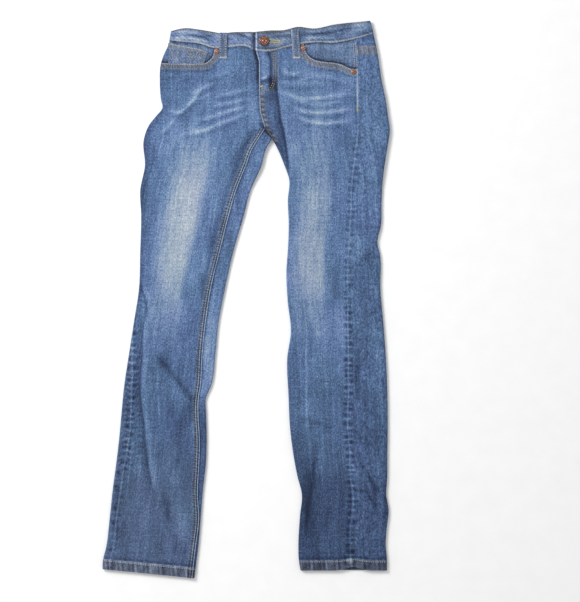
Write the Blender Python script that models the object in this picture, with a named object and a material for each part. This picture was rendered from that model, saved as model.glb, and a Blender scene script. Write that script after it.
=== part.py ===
"""Skinny jeans laid flat on their back, faces up. Tables are in millimetres; the meshes are in metres.

+X points to the wearer's left, +Y to the waist and +Z up from the surface that the jeans lie on.
Each half of the jeans is a tube of cloth pressed flat, with rolled edges. A place on the cloth is given
by its y and its ring place: the length along the tube's outline from the middle of the left rolled edge,
over the top to the right edge and back along the underside.
"""

import math

import bmesh
import bpy
import numpy as np

MM = 0.001
CLOTH = 1.3  # wall of the denim
BAND_CLOTH = 2.3  # wall of the waistband, two layers and their lining
SEAM_GAP = 0.3
SEAM_EASE = 0.25  # more room where two curved edges meet column by column
ROLL = 3.2  # radius of a rolled edge, so a flat tube is twice this high
BAND_ROLL = 3.8
SEAT_LIFT = 1.9  # the seat lies on its back pockets and belt loops
LIFT_START, LIFT_FULL = 190.0, 225.0  # y where the seat starts to rise, and where it has risen
HEM_TOP = 18.0  # depth of the hem
HEM_RAISE = 0.9  # the hem's extra layers of cloth
QUARTER = math.pi * ROLL / 2
HALF_GAP = SEAM_GAP / 2
NARROW = 0.4  # how far the band's tube stands below the panels'
CROTCH_Y, GAP_Y = 292.5, 276.0  # where the four seams meet, and where the legs part
CROTCH_X, GAP_X = 32.5, 45.0
LAP_START, LAP_END = 17.0, 45.0  # the waistband's upper and lower end, in x
LAP_DIP = 2.6  # how far the lower end dips under the upper one
BACK_MIDDLE_X = 38.0

# The outer edges and the outseams, waist to hem: (y, x of the edge, x of the outseam).
# The right outseam is told from its edge: the length over the top, or along the underside if negative.
RIGHT_SIDE = (
    (480, -127, -4), (455, -129, -4), (436, -133.5, -4), (420, -141, -4), (405, -146, -3),
    (377, -148, 1.5), (343, -146, 3), (327, -144, 3), (315, -154, -2), (298, -167, -6),
    (276, -175, -8), (229, -173.5, -8), (188, -181.5, -8), (145, -180, -8), (85, -181.5, -8),
    (16, -184, -8), (-36, -192, -2), (-94, -201, 8), (-147, -209, 15), (-198, -214, 18),
    (-241, -218, 19), (-283, -223, 16), (-328, -229, 15), (-380, -234.5, 13), (-422, -239.5, 14),
    (-451, -246, 14), (-480, -245.5, 14),
)
LEFT_SIDE = (
    (480, 212.5, 189), (455, 219, 189), (436, 223.5, 189.5), (420, 226.5, 190.5), (400, 229.5, 192),
    (377, 233, 192.5), (343, 240, 192.5), (315, 244, 192.5), (291, 247, 192.5), (267, 244, 189),
    (243, 240, 187), (205, 235, 182.5), (171, 233, 181), (128, 232, 179), (97, 226, 177),
    (78, 230, 176), (16, 231, 175), (-36, 235.5, 175.5), (-94, 240, 176), (-147, 242.5, 176),
    (-216, 243.5, 174.5), (-259, 243, 178), (-310, 242.5, 180), (-334, 241, 183), (-362, 245, 182.5),
    (-396, 241.5, 179), (-422, 240, 179), (-444, 242, 179), (-471, 242.5, 179),
)
# The legs' inner edges, gap to hem. The right inseam lies on top: (y, x of the edge, x of the inseam).
# The left inseam lies on the underside: (y, x of the edge, its length from the edge).
RIGHT_INNER = (
    (276, 45, 22), (260, 35.5, 12), (229, 26.5, 0), (188, 8, -16.5), (145, -3.5, -29),
    (85, -21, -44), (16, -36.5, -60.5), (-36, -46.5, -68.5), (-94, -52.5, -74.5), (-147, -59.5, -77.5),
    (-171, -69, -81), (-194, -68.5, -81.5), (-241, -67.5, -79), (-283, -69, -80), (-328, -74, -82.5),
    (-380, -78, -80.5), (-422, -81.5, -85.5), (-451, -85, -89), (-480, -88.5, -92),
)
LEFT_INNER = (
    (276, 45, 0), (257, 55, 16), (229, 66.5, 38), (207, 74, 46), (171, 72, 54), (128, 73.5, 58),
    (85, 72, 60), (50, 69.5, 60), (-1, 71.5, 58), (-57, 77, 56), (-100, 71, 55), (-164, 73, 54),
    (-224, 76, 52), (-267, 81.5, 50), (-302, 88, 48), (-336, 96, 46), (-370, 93, 45), (-422, 90, 44),
    (-444, 90.5, 44), (-471, 94.5, 44),
)
# The waistband's seam on the underside: (x, y), from edge to edge.
BACK_SEAM = ((-129, 444), (BACK_MIDDLE_X, 429), (215, 455))
# The trunk's rows, as y at four seams: (right outseam, front middle, left outseam, back middle).
TRUNK_ROWS = (
    ("band", 444, 426, 447, BACK_SEAM[1][1]),
    ("yoke middle", 432.5, 426, 432.5, 405),
    ("yoke seam", 421, 426, 420, 381),
    ("mouth", 406, 426, 395.5, 367),
    ("hip 1", 386, 403.5, 377.5, 353),
    ("hip 2", 364, 379.5, 358, 339),
    ("hip 3", 343, 355, 341, 326),
    ("notch", 327, 333, 324, 314),
    ("thigh top", 310, 312, 308, 302),
    ("crotch", CROTCH_Y, CROTCH_Y, CROTCH_Y, 290),
    ("crotch end", 284, 284, 284, 283),
    ("gap", GAP_Y, GAP_Y, GAP_Y, GAP_Y),
)
YOKE_SEAM, MOUTH, CROTCH, GAP = 2, 3, 9, 11
# The waistband's edges: (x, y of the upper edge, y of the seam).
WAIST = (
    (-129, 460, 444), (-105, 465, 441), (-79, 462.5, 438.5), (-55, 458.5, 431), (-41, 456, 431),
    (-24, 458, 433), (-2, 458.5, 434.5), (17, 459, 427), (41, 461, 425.5), (67, 462, 431.5),
    (87, 467, 436.5), (118, 464.5, 440.5), (153, 471.5, 440), (179, 474.5, 444.5), (196, 476, 448.5),
    (215, 478, 455),
)
LAP_UNDER = (LAP_END, 41, 29, LAP_START, 11, 5)
RIGHT_BAND_XS = (-2, -24, -41, -55, -79, -105)
LEFT_BAND_XS = (196, 179, 153, 118, 87, 67, 41, 29, LAP_START + 0.15)
BAND_TURN = (4.5, 3.0, 1.0, -1.0, -3.0, -4.5)  # ring places on a rolled edge
LAP_RAMP = 12.0  # length of the dip under the lap
BAND_PROFILE = ((0.0, 0.4), (0.1, 0.0), (0.5, 0.0), (0.9, 0.0), (1.0, 0.5))  # share of the width, rounding
# The fly's edge and the seat seam down to where the legs part: (y, x).
FRONT_MIDDLE = (
    (426, 17), (408, 22.5), (351, 22.5), (321, 24), (305, 29), (CROTCH_Y, CROTCH_X), (GAP_Y, GAP_X),
)
# The scooped edges of the fronts, (x, y), from the side seam up to the waistband.
RIGHT_MOUTH = ((-129, 405), (-105, 404.5), (-79, 404.5), (-69, 406), (-62, 411), (-57, 417), (-55, 424))
LEFT_MOUTH = ((179, 396), (166, 402), (153, 405.5), (135, 407.5), (118, 411), (106, 419.5), (101.5, 429))
RIGHT_MOUTH_END, LEFT_MOUTH_END = -53.5, 100.0  # x where each meets the waistband
RIGHT_BAND_RUN = (-41, -24, -2, 8)  # x of the top edge between the mouth and the fly
LEFT_BAND_RUN = (87, 67, 41, 29)

RIGHT_WRAP = (-0.5, 2.5, 6.0)  # ring places of the right front's top edge on the rolled edge
PULL_AT_ENDS = 6.0
FRONT_COLUMNS = len(RIGHT_WRAP) + len(RIGHT_MOUTH) + len(RIGHT_BAND_RUN) + 2
LEFT_FRONT_COLUMNS = len(LEFT_MOUTH) + len(LEFT_BAND_RUN) + 2
BACK_COLUMNS, FLAP_COLUMNS, UNDER_COLUMNS = 11, 5, 6
SETTLING_ROUNDS = 8  # a point's y and its ring place depend on each other
# Half widths in which columns stand closer, and how many more columns each of these places takes.
TURN_SPAN, FOLD_SPAN, FELL_SPAN = 7.0, 12.0, 3.0
FRONT_TURN, BACK_TURN, STRIP_TURN, FLAP_TURN = 5.0, 4.0, 3.0, 2.0
FOLD_COLUMNS, FOLD_COLUMNS_BELOW, FELL_COLUMNS = 5.0, 1.5, 2.0
FINE_PLACES = 400  # places at which the columns' spacing is measured
TINY = 1e-6
TOP_PULL = (1.0, 0.5, 0.2, 0.05)  # how much of the mouth's curve each row from the mouth down keeps

# Rows of the legs, as y at the middle, gap to hem.
RIGHT_LEG_ROWS = (
    261, 246, 229, 208, 188, 166, 145, 115, 85, 50, 16, -10, -36, -65, -94, -120, -147, -160, -171,
    -182, -200, -220, -241, -262, -283, -305, -328, -354, -380, -402, -422, -440, -455,
)
LEFT_LEG_ROWS = (
    261, 246, 229, 208, 188, 171, 150, 128, 112, 97, 85, 68, 42, 16, -10, -36, -65, -94, -120, -147,
    -180, -216, -238, -259, -285, -310, -334, -348, -362, -380, -396, -422, -440, -449,
)
RIGHT_HEM_SLOPE = -0.1  # dy/dx of the hem, reached gradually below the knee
RIGHT_HEM_Y, LEFT_HEM_Y = -470.5, -465.0  # the hems' lower edges at the middle of each leg
LEG_TILT_START = -150.0
HEM_ARCH, HEM_ARCH_X, HEM_ARCH_WIDTH = 6.0, 184.0, 24.0  # the left hem's front layer lifts here

# The largest folds. A step is raised on its right and sunk on its left: (y, x, height, sink).
FLY_FOLD = ((385, 50, 0, 0), (343, 56, 1.6, 1.4), (312, 60, 2.2, 2.2), (272, 69, 2.4, 2.4),
            (240, 73, 1.8, 2.0), (205, 74, 0, 0))
SHIN_FOLD = ((30, -181, 0, 0), (-16, -168.5, 1.6, 1.2), (-50, -175, 2.0, 1.6), (-94, -177.5, 2.2, 1.8),
             (-170, -179.5, 2.2, 1.8), (-218, -173.5, 2.2, 1.8), (-262, -170, 1.8, 1.6),
             (-306, -163.5, 1.2, 1.0), (-345, -156, 0, 0))
STEP_LIP, STEP_TAIL, SINK_WIDTH = 5.0, 26.0, 9.0
# Troughs, each (x and y of its start, of its end, depth, half width).
TROUGHS = (
    (-143, -98, -96, -168, 1.6, 8), (-98, -171, -70, -172, 2.0, 7), (226, 90, 192, 50, 1.8, 8),
    (118, -214, 145, -220, 1.2, 8), (119, -270, 117, -352, 1.6, 7), (210, -292, 224, -330, 1.4, 7),
    (-95, -185, -112, -228, 1.2, 9), (-141, -338, -127, -362, 1.2, 8),
)
FELL_WIDTH, FELL_HEIGHT = 9.0, 0.8  # the raised band beside the right inseam
FLY_RIDGE_WIDTH, FLY_RIDGE_HEIGHT, FLY_RIDGE_END = 20.0, 1.2, 345.0
MOUTH_RECESS = 1.6  # a facing lies this much lower at the pocket's edge

LOOP_WIDTH, LOOP_CLOTH = 13.0, 1.2
LOOP_SHARES = (0.0, 0.06, 0.3, 0.55, 0.7, 0.8, 0.94, 1.0)  # rows of a loop, as shares of its length
LOOP_CROSS = (-0.5, -0.44, 0.0, 0.44, 0.5)  # its columns, as shares of its width
LOOP_ARCH, LOOP_ARCH_END = 1.2, 0.75  # how far it stands off, and the share of its length where that ends
LOOP_CROWN, LOOP_EDGE = 0.3, 0.3  # rise of its middle, and drop of its outermost edges
POCKET_CLOTH = 1.6  # a back pocket with its turned edge
COIN_LEFT_X, COIN_RIGHT_TOP, COIN_RIGHT_LOW = -133.0, -65.5, -72.5
COIN_LOW_Y, COIN_DROP, COIN_FALL, COIN_CLOTH = 406.3, 4.5, 6.0, 1.0
COIN_ROWS, COIN_COLUMNS = (0.0, 0.5, 1.0), (0.0, 0.12, 0.35, 0.6, 0.85, 1.0)
COIN_EDGE_X, COIN_EDGE_RUN = -140.0, 30.0  # the facing below it sinks over this run
BUTTON_RADIUS, BUTTON_HEIGHT, BUTTON_SEGMENTS = 8.6, 3.4, 24
RIVET_RADIUS, RIVET_HEIGHT, RIVET_SEGMENTS = 4.4, 1.8, 16
# Shares of the radius and of the height, from the foot to the crown's middle.
BUTTON_PROFILE = ((0.45, 0.0), (0.5, 0.25), (0.95, 0.35), (1.0, 0.6), (0.93, 0.88), (0.8, 0.95), (0.7, 0.78),
                  (0.4, 0.82), (0.15, 1.0))
RIVET_PROFILE = ((0.9, 0.0), (1.0, 0.35), (0.85, 0.75), (0.45, 0.8), (0.3, 1.0))
RIVETS = (("right_inner", -50, 425.0), ("left_inner", 98.8, 431.0), ("left_outer", 184.5, 390.0))
BUTTON_AT = (31.0, 443.0)
FRONT_LOOPS = (("right", -39, 457.0, -38.5, 413.0), ("left", 84, 464.0, 87.5, 413.0))
BACK_LOOPS = (("back_right", -62.0), ("back_middle", 38.0), ("back_left", 140.0))
BACK_LOOP_SPAN = (456.0, 412.0)
# A back pocket's corners, told from its middle: (across, y).
POCKET_SHAPE = ((-64, 381.0), (64, 381.0), (58, 270.0), (0, 250.0), (-58, 270.0))
POCKET_SLOPE, POCKET_TOP = 0.15, 300.0  # its top edge, above this y, falls towards the back middle
POCKET_MIDDLES = (("right", -56.0, -1.0), ("left", 129.0, 1.0))

DENIM = (0.075, 0.15, 0.32)
DEEP_DENIM = (0.05, 0.10, 0.23)
COPPER = (0.55, 0.27, 0.15)
CLOTH_ROUGHNESS, METAL_ROUGHNESS = 0.85, 0.35
SHARP_ANGLE = 50  # degrees past which an edge is shaded sharp


def column(table, place):
    """The y and one other column of a table, in rising order of y."""
    rows = sorted((row[0], row[place]) for row in table)
    return np.array([r[0] for r in rows], float), np.array([r[1] for r in rows], float)


def smooth_line(table, place):
    """A function of y that passes smoothly through one column of a table."""
    ys, xs = column(table, place)
    slopes = np.gradient(xs, ys)

    def at(y):
        y = np.clip(np.asarray(y, float), ys[0], ys[-1])
        k = np.clip(np.searchsorted(ys, y) - 1, 0, len(ys) - 2)
        h = ys[k + 1] - ys[k]
        t = (y - ys[k]) / h
        return (
            (1 + 2 * t) * (1 - t) ** 2 * xs[k] + t * (1 - t) ** 2 * h * slopes[k]
            + t * t * (3 - 2 * t) * xs[k + 1] + t * t * (t - 1) * h * slopes[k + 1]
        )

    return at


def straight_line(table, place):
    """A function that runs straight between a table's rows."""
    ys, xs = column(table, place)
    return lambda y: np.interp(y, ys, xs)


def smooth_step(value):
    value = np.clip(value, 0.0, 1.0)
    return value * value * (3 - 2 * value)


right_edge, right_outseam = smooth_line(RIGHT_SIDE, 1), smooth_line(RIGHT_SIDE, 2)
left_edge, left_outseam = smooth_line(LEFT_SIDE, 1), smooth_line(LEFT_SIDE, 2)
right_inner, right_inseam = smooth_line(RIGHT_INNER, 1), smooth_line(RIGHT_INNER, 2)
left_inner, left_inseam = smooth_line(LEFT_INNER, 1), smooth_line(LEFT_INNER, 2)
front_middle = straight_line(FRONT_MIDDLE, 1)
waist_top, waist_seam = straight_line(WAIST, 1), straight_line(WAIST, 2)
fly_fold = [smooth_line(FLY_FOLD, place) for place in (1, 2, 3)]
shin_fold = [smooth_line(SHIN_FOLD, place) for place in (1, 2, 3)]


def band_seam(x, on_top):
    """y of the waistband's seam, on the top and on the underside."""
    if on_top:
        return float(waist_seam(x))
    return float(np.interp(x, [row[0] for row in BACK_SEAM], [row[1] for row in BACK_SEAM]))


def back_middle(y):
    """x of the seat seam on the underside."""
    share = (y - GAP_Y) / (WAIST[0][1] - GAP_Y)
    return GAP_X + (BACK_MIDDLE_X - GAP_X) * smooth_step(share * 2)


class Tube:
    """A flattened tube between two outlines, which turns a ring place and a y into a point."""

    def __init__(self, left, right, roll=ROLL, spread=0.0):
        self.left, self.right, self.roll, self.spread = left, right, roll, spread

    def edges(self, y):
        return float(self.left(y)) - self.spread, float(self.right(y)) + self.spread

    def half(self, y):
        """Half the ring: from the middle of one rolled edge to the middle of the other."""
        a, b = self.edges(y)
        return (b - a) - 2 * self.roll + math.pi * self.roll

    def top(self, x, y):
        """Ring place of a point on the top."""
        return math.pi * self.roll / 2 + (x - self.edges(y)[0] - self.roll)

    def under(self, x, y):
        """Ring place of a point on the underside, on the far side of the right edge."""
        return 2 * self.half(y) - self.top(x, y)

    def point(self, ring, y, depth, extra):
        """The point at this ring place, this deep in the wall."""
        a, b = self.edges(y)
        r, quarter = self.roll, math.pi * self.roll / 2
        flat = (b - a) - 2 * r
        ring = ring % (2 * self.half(y))
        if ring < quarter:
            centre, angle = a + r, math.pi - ring / r
        elif ring < quarter + flat:
            centre, angle = a + r + ring - quarter, math.pi / 2
        elif ring < 3 * quarter + flat:
            centre, angle = b - r, math.pi / 2 - (ring - quarter - flat) / r
        elif ring < 3 * quarter + 2 * flat:
            centre, angle = b - r - (ring - 3 * quarter - flat), -math.pi / 2
        else:
            centre, angle = a + r, -math.pi / 2 - (ring - 3 * quarter - 2 * flat) / r
        x = centre + (r - depth) * math.cos(angle)
        z = r + (r - depth) * math.sin(angle)
        return x, y, z + base(y) + extra * max(math.sin(angle), 0.0) ** 2


def base(y):
    """Height of the tube's underside over the surface."""
    return SEAT_LIFT * float(smooth_step((y - LIFT_START) / (LIFT_FULL - LIFT_START)))


trunk = Tube(right_edge, left_edge)
right_leg = Tube(right_edge, lambda y: right_inner(y) - SEAM_GAP / 2)
left_leg = Tube(lambda y: left_inner(y) + SEAM_GAP / 2, left_edge)
band_tube = Tube(right_edge, left_edge, BAND_ROLL, BAND_ROLL - ROLL)


def step_fold(fold, x, y):
    """Height of a fold that is raised on its right and sunk on its left."""
    across = x - float(fold[0](y))
    height, sink = float(fold[1](y)), float(fold[2](y))
    if across >= 0:
        rise = smooth_step(across / STEP_LIP + 0.5) * 2 - 1
        return height * rise * math.exp(-across / STEP_TAIL)
    dip = math.exp(-(((across + SINK_WIDTH / 2) / SINK_WIDTH) ** 2) * 2)
    return -sink * dip * min(1.0, -across / STEP_LIP * 2)


def trough(row, x, y):
    x0, y0, x1, y1, depth, width = row
    run, rise = x1 - x0, y1 - y0
    along = ((x - x0) * run + (y - y0) * rise) / (run * run + rise * rise)
    along = min(max(along, 0.0), 1.0)
    away = math.hypot(x - x0 - along * run, y - y0 - along * rise)
    return -depth * math.exp(-((away / width) ** 2)) * min(1.0, 0.4 + 2 * min(along, 1 - along))


def relief(x, y):
    """Height of the folds and raised seams over the flat top."""
    if y > FLY_FOLD[0][0]:
        height = 0.0
    elif x > FLY_FOLD[0][1] - 2 * SINK_WIDTH:
        height = step_fold(fly_fold, x, y) if y > FLY_FOLD[-1][0] else 0.0
    else:
        height = step_fold(shin_fold, x, y) if SHIN_FOLD[-1][0] < y < SHIN_FOLD[0][0] else 0.0
    height += sum(trough(row, x, y) for row in TROUGHS if abs(y - row[1]) < 120)
    seam = float(right_inseam(min(y, GAP_Y)))
    if y < CROTCH_Y and seam - FELL_WIDTH < x < seam + 1:
        height += FELL_HEIGHT * float(smooth_step((x - seam + FELL_WIDTH) / 3))
    ridge = x - float(front_middle(max(y, CROTCH_Y)))
    if y > FLY_RIDGE_END and 0 <= ridge < FLY_RIDGE_WIDTH:
        fade = float(smooth_step((y - FLY_RIDGE_END) / 25))
        height += FLY_RIDGE_HEIGHT * fade * math.cos(ridge / FLY_RIDGE_WIDTH * math.pi / 2) ** 2
    return height


def spaced(start, end, count, spots=()):
    """count + 1 ring places from start to end, closer together around each spot.

    A spot is told by its place, its half width and how many more columns it takes.
    """
    if abs(end - start) < TINY:
        return np.full(count + 1, start)
    fine = np.linspace(start, end, FINE_PLACES)
    total = np.abs(fine - start) / abs(end - start)
    for place, half_width, extra in spots:
        total = total + extra * smooth_step((fine - place + half_width) / (2 * half_width)) / count
    total = (total - total[0]) / (total[-1] - total[0])
    return np.interp(np.linspace(0, 1, count + 1), total, fine)


def shell(name, grids, colour):
    """One closed wall from grids of (outer point, inner point), welded where their outer points meet."""
    keys, outer, inner, faces = {}, [], [], []

    def index(pair):
        key = tuple(round(v * 1000) for v in pair[0])
        if key not in keys:
            keys[key] = len(outer)
            outer.append(pair[0])
            inner.append(pair[1])
        return keys[key]

    for grid in grids:
        numbers = [[index(pair) for pair in row] for row in grid]
        for upper, lower in zip(numbers, numbers[1:]):
            for j in range(len(upper) - 1):
                ring = [upper[j], upper[j + 1], lower[j + 1], lower[j]]
                face = [v for k, v in enumerate(ring) if v != ring[k - 1]]
                if len(face) > 2:
                    faces.append(face)
    used = {}
    for face in faces:
        for k, v in enumerate(face):
            used[(face[k - 1], v)] = used.get((face[k - 1], v), 0) + 1
    rims = [(a, b) for a, b in used if (b, a) not in used]
    count = len(outer)
    solid = [list(reversed(face)) for face in faces]
    solid += [[v + count for v in face] for face in faces]
    solid += [[a, b, b + count, a + count] for a, b in rims]
    return mesh_object(name, outer + inner, solid, colour, CLOTH_ROUGHNESS)


def mesh_object(name, points, faces, colour, roughness, metallic=0.0):
    """A closed object from points in millimetres, with its faces turned outwards."""
    mesh = bpy.data.meshes.new(name)
    mesh.from_pydata([tuple(v * MM for v in p) for p in points], [], faces)
    work = bmesh.new()
    work.from_mesh(mesh)
    loose = [v for v in work.verts if not v.link_faces]
    bmesh.ops.delete(work, geom=loose, context="VERTS")
    bmesh.ops.recalc_face_normals(work, faces=work.faces)
    if work.calc_volume(signed=True) < 0:
        bmesh.ops.reverse_faces(work, faces=work.faces)
    bmesh.ops.triangulate(work, faces=work.faces, quad_method="SHORT_EDGE")
    work.to_mesh(mesh)
    work.free()
    mesh.shade_smooth()
    mesh.set_sharp_from_angle(angle=math.radians(SHARP_ANGLE))
    material = bpy.data.materials.new(name)
    material.use_nodes = True
    shader = material.node_tree.nodes["Principled BSDF"]
    shader.inputs["Base Color"].default_value = (*colour, 1.0)
    shader.inputs["Roughness"].default_value = roughness
    shader.inputs["Metallic"].default_value = metallic
    mesh.materials.append(material)
    thing = bpy.data.objects.new(name, mesh)
    bpy.context.collection.objects.link(thing)
    return thing


def wall_pair(tube, ring, y, thick=CLOTH, hem=0.0, sink=0.0):
    """The outer and inner point of the wall at one ring place."""
    x, _, z = tube.point(ring, y, 0.0, 0.0)
    on_top = z - base(y) > tube.roll
    extra = relief(x, y) - sink if on_top else 0.0
    if on_top:
        outer = tube.point(ring, y, 0.0, extra + hem)
        inner = tube.point(ring, y, thick, extra)
    else:
        outer = tube.point(ring, y, 0.0, 0.0)
        inner = tube.point(ring, y, thick + hem * 0.8, 0.0)
    return outer, inner


def leg_y(row_y, x, middle_x, slope, hem_y, arch):
    """y along a leg's row, which tilts towards the hem's own slope."""
    share = min(max((row_y - LEG_TILT_START) / (hem_y - LEG_TILT_START), 0.0), 1.0)
    lift = 0.0
    if arch and row_y < hem_y + 2 * HEM_TOP:
        near = float(smooth_step((hem_y + 2 * HEM_TOP - row_y) / (2 * HEM_TOP)))
        lift = HEM_ARCH * near * math.exp(-(((x - HEM_ARCH_X) / HEM_ARCH_WIDTH) ** 2) * 2)
    return row_y + slope * share * (x - middle_x) + lift


def leg_rows(rows, hem_y):
    """Each row's y and how much of the hem's extra cloth it has."""
    plain = [(y, 0.0) for y in rows if y > hem_y + HEM_TOP + 1]
    return plain + [(hem_y + HEM_TOP, 0.0), (hem_y + HEM_TOP - 1.5, HEM_RAISE),
                    (hem_y + 2, HEM_RAISE), (hem_y, HEM_RAISE * 0.6)]


def leg_grid(side, limits, count, spots):
    """Rows of a leg piece, from where the legs part down to the hem.

    limits gives the ring places of both ends at a y, and spots where the columns are closer.
    """
    tube, rows, hem_y, slope = (
        (right_leg, RIGHT_LEG_ROWS, RIGHT_HEM_Y, RIGHT_HEM_SLOPE)
        if side == "right"
        else (left_leg, LEFT_LEG_ROWS, LEFT_HEM_Y, 0.0)
    )
    grid = []
    for row_y, hem in leg_rows(rows, hem_y):
        start, end = limits(tube, row_y)
        if start > end:
            start = end = (start + end) / 2
        rings = spaced(start, end, count, spots(tube, row_y))
        line = []
        for share, ring in enumerate(rings):
            a, b = tube.edges(row_y)
            x = tube.point(ring, row_y, 0.0, 0.0)[0]
            on_top = tube.point(ring, row_y, 0.0, 0.0)[2] - base(row_y) > tube.roll
            y = leg_y(row_y, x, (a + b) / 2, slope, hem_y, side == "left" and on_top)
            start, end = limits(tube, y)
            if start > end:
                start = end = (start + end) / 2
            there = spaced(start, end, count, spots(tube, y))[share]
            line.append(wall_pair(tube, float(there), y, CLOTH, hem))
        grid.append(line)
    return grid


def right_seam(tube, y):
    """Ring place of the right outseam, told from the left rolled edge."""
    return float(right_outseam(y))


def left_seam(tube, y):
    return tube.top(float(left_outseam(y)), y)


def front_columns_spots(tube, y):
    spots = [(0.0, TURN_SPAN, FRONT_TURN)]
    if SHIN_FOLD[-1][0] < y < SHIN_FOLD[0][0]:
        spots.append((tube.top(float(shin_fold[0](y)), y), FOLD_SPAN, FOLD_COLUMNS))
    if y < GAP_Y:
        spots.append((tube.top(float(right_inseam(y)) - FELL_WIDTH, y), FELL_SPAN, FELL_COLUMNS))
    return spots


def fly_spots(tube, y):
    fold = min(max(y, FLY_FOLD[-1][0]), FLY_FOLD[0][0])
    extra = FOLD_COLUMNS if FLY_FOLD[-1][0] < y else FOLD_COLUMNS_BELOW
    spots = [(tube.top(float(fly_fold[0](fold)), y), FOLD_SPAN, extra)]
    if y <= GAP_Y:
        spots.append((0.0, TURN_SPAN, STRIP_TURN))
    return spots


def front_trunk(side):
    """Rows of a front's part above the crotch, from its top edge down to where the legs part."""
    right = side == "right"
    mouth, end_x = (RIGHT_MOUTH, RIGHT_MOUTH_END) if right else (LEFT_MOUTH, LEFT_MOUTH_END)
    seam_place = 1 if right else 3
    side_y = TRUNK_ROWS[MOUTH][seam_place]
    if right:
        start = [right_seam(trunk, side_y) + HALF_GAP, *RIGHT_WRAP]
    else:
        start = [left_seam(trunk, side_y) - HALF_GAP]
    top = [(ring, side_y) for ring in start]
    run = RIGHT_BAND_RUN if right else LEFT_BAND_RUN
    seam_xs = [end_x, *run, LAP_START - HALF_GAP if right else LAP_START + HALF_GAP]
    edge = list(mouth) + [(x, float(waist_seam(x)) - HALF_GAP) for x in seam_xs]
    top += [(trunk.top(x, y), y) for x, y in edge]
    count = len(top) - 1
    rows = []
    for row in range(MOUTH, GAP + 1):
        pull = TOP_PULL[row - MOUTH] if row - MOUTH < len(TOP_PULL) else 0.0
        at_side, at_front = TRUNK_ROWS[row][seam_place], TRUNK_ROWS[row][2]
        if row == MOUTH:
            at_front = top[-1][1]
        line = []
        for j in range(count + 1):
            share = j / count
            y = at_side + (at_front - at_side) * share
            y += pull * (top[j][1] - (side_y + (top[-1][1] - side_y) * share))
            if row == GAP:
                y = GAP_Y
            ring = front_ring(side, row, j, y)
            ring += min(pull, PULL_AT_ENDS * share, PULL_AT_ENDS * (1 - share)) * (top[j][0] - ring)
            if row == MOUTH:
                ring = top[j][0]
            tube = leg_tube(side) if row == GAP else trunk
            line.append((tube, float(ring), float(y)))
        rows.append(line)
    return rows


def leg_tube(side):
    return right_leg if side == "right" else left_leg


def front_ring(side, row, j, y):
    """Ring place of a front's column at a plain row."""
    columns = FRONT_COLUMNS if side == "right" else LEFT_FRONT_COLUMNS
    tube = leg_tube(side) if row == GAP else trunk
    if side == "right":
        start = right_seam(tube, y) + HALF_GAP
        x = float(front_middle(y)) if y >= CROTCH_Y else crotch_inseam(y)
        end = tube.top(x, y) - HALF_GAP
        return spaced(start, end, columns, front_columns_spots(tube, y))[j]
    start = left_seam(tube, y) - HALF_GAP
    end = HALF_GAP if row == GAP else tube.top(float(front_middle(y)), y) + HALF_GAP
    return spaced(end, start, columns, fly_spots(tube, y))[columns - j]


def crotch_inseam(y):
    """x of the right inseam between the crotch point and the gap."""
    if y <= GAP_Y:
        return float(right_inseam(y))
    share = (y - GAP_Y) / (CROTCH_Y - GAP_Y)
    return RIGHT_INNER[0][2] + (CROTCH_X - RIGHT_INNER[0][2]) * share


def pairs(rows, sink=0.0):
    return [[wall_pair(tube, ring, y, CLOTH, 0.0, sink) for tube, ring, y in row] for row in rows]


def build_fronts():
    right = front_trunk("right")
    right_low = leg_grid(
        "right",
        lambda tube, y: (right_seam(tube, y) + HALF_GAP, tube.top(float(right_inseam(y)), y) - HALF_GAP),
        FRONT_COLUMNS, front_columns_spots,
    )
    shell("front_right_leg", [pairs(right) + right_low], DENIM)
    left = [list(reversed(row)) for row in front_trunk("left")]
    left_low = leg_grid(
        "left",
        lambda tube, y: (0.0, left_seam(tube, y) - HALF_GAP),
        LEFT_FRONT_COLUMNS, fly_spots,
    )
    under = leg_grid(
        "left",
        lambda tube, y: (min(0.0, HALF_GAP - float(left_inseam(y))), 0.0),
        UNDER_COLUMNS, lambda tube, y: [(0.0, TURN_SPAN, STRIP_TURN)],
    )
    top = pairs(left)
    tip = top[-1][0]
    shell("front_left_leg", [top + left_low, [[tip] * (UNDER_COLUMNS + 1)] + under], DENIM)


def back_trunk(side, first, last):
    """Rows of the underside above the gap, from the seat seam to the outseam."""
    right = side == "right"
    rows = []
    for row in range(first, last + 1):
        tube = leg_tube(side) if row == GAP else trunk
        at_back = TRUNK_ROWS[row][4]
        at_side = TRUNK_ROWS[row][1 if right else 3]
        trim = HALF_GAP if row in (0, YOKE_SEAM) else 0.0
        down = -trim if row == first else trim
        line = []
        for j in range(BACK_COLUMNS + 1):
            y = at_back
            for _ in range(SETTLING_ROUNDS):
                half = tube.half(y)
                if right:
                    start = half if row == GAP else trunk.under(back_middle(y), y) + HALF_GAP
                    end = 2 * half + right_seam(tube, y) - HALF_GAP
                else:
                    end = 2 * half - HALF_GAP if row == GAP else trunk.under(back_middle(y), y) - HALF_GAP
                    start = left_seam(tube, y) + HALF_GAP
                ring = spaced(start, end, BACK_COLUMNS, back_spots(side, tube, y))[j]
                if row == 0:
                    x, _, z = tube.point(ring, y, 0.0, 0.0)
                    y = band_seam(x, z > base(y) + tube.roll) + down - SEAM_EASE
                else:
                    y = back_y(side, tube, ring, at_back, at_side, y) + down
            line.append((tube, float(ring), float(y)))
        rows.append(line)
    return rows


def back_spots(side, tube, y):
    half = tube.half(y)
    if side == "right":
        seam = tube.under(back_middle(y), y) if y > GAP_Y else half
        return [(seam, TURN_SPAN, STRIP_TURN), (2 * half, TURN_SPAN, BACK_TURN)]
    spots = [(half, TURN_SPAN, BACK_TURN)]
    if y >= GAP_Y:
        seam = 2 * half if y == GAP_Y else tube.under(back_middle(y), y)
        spots.append((seam, TURN_SPAN, FLAP_TURN))
    return spots


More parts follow.
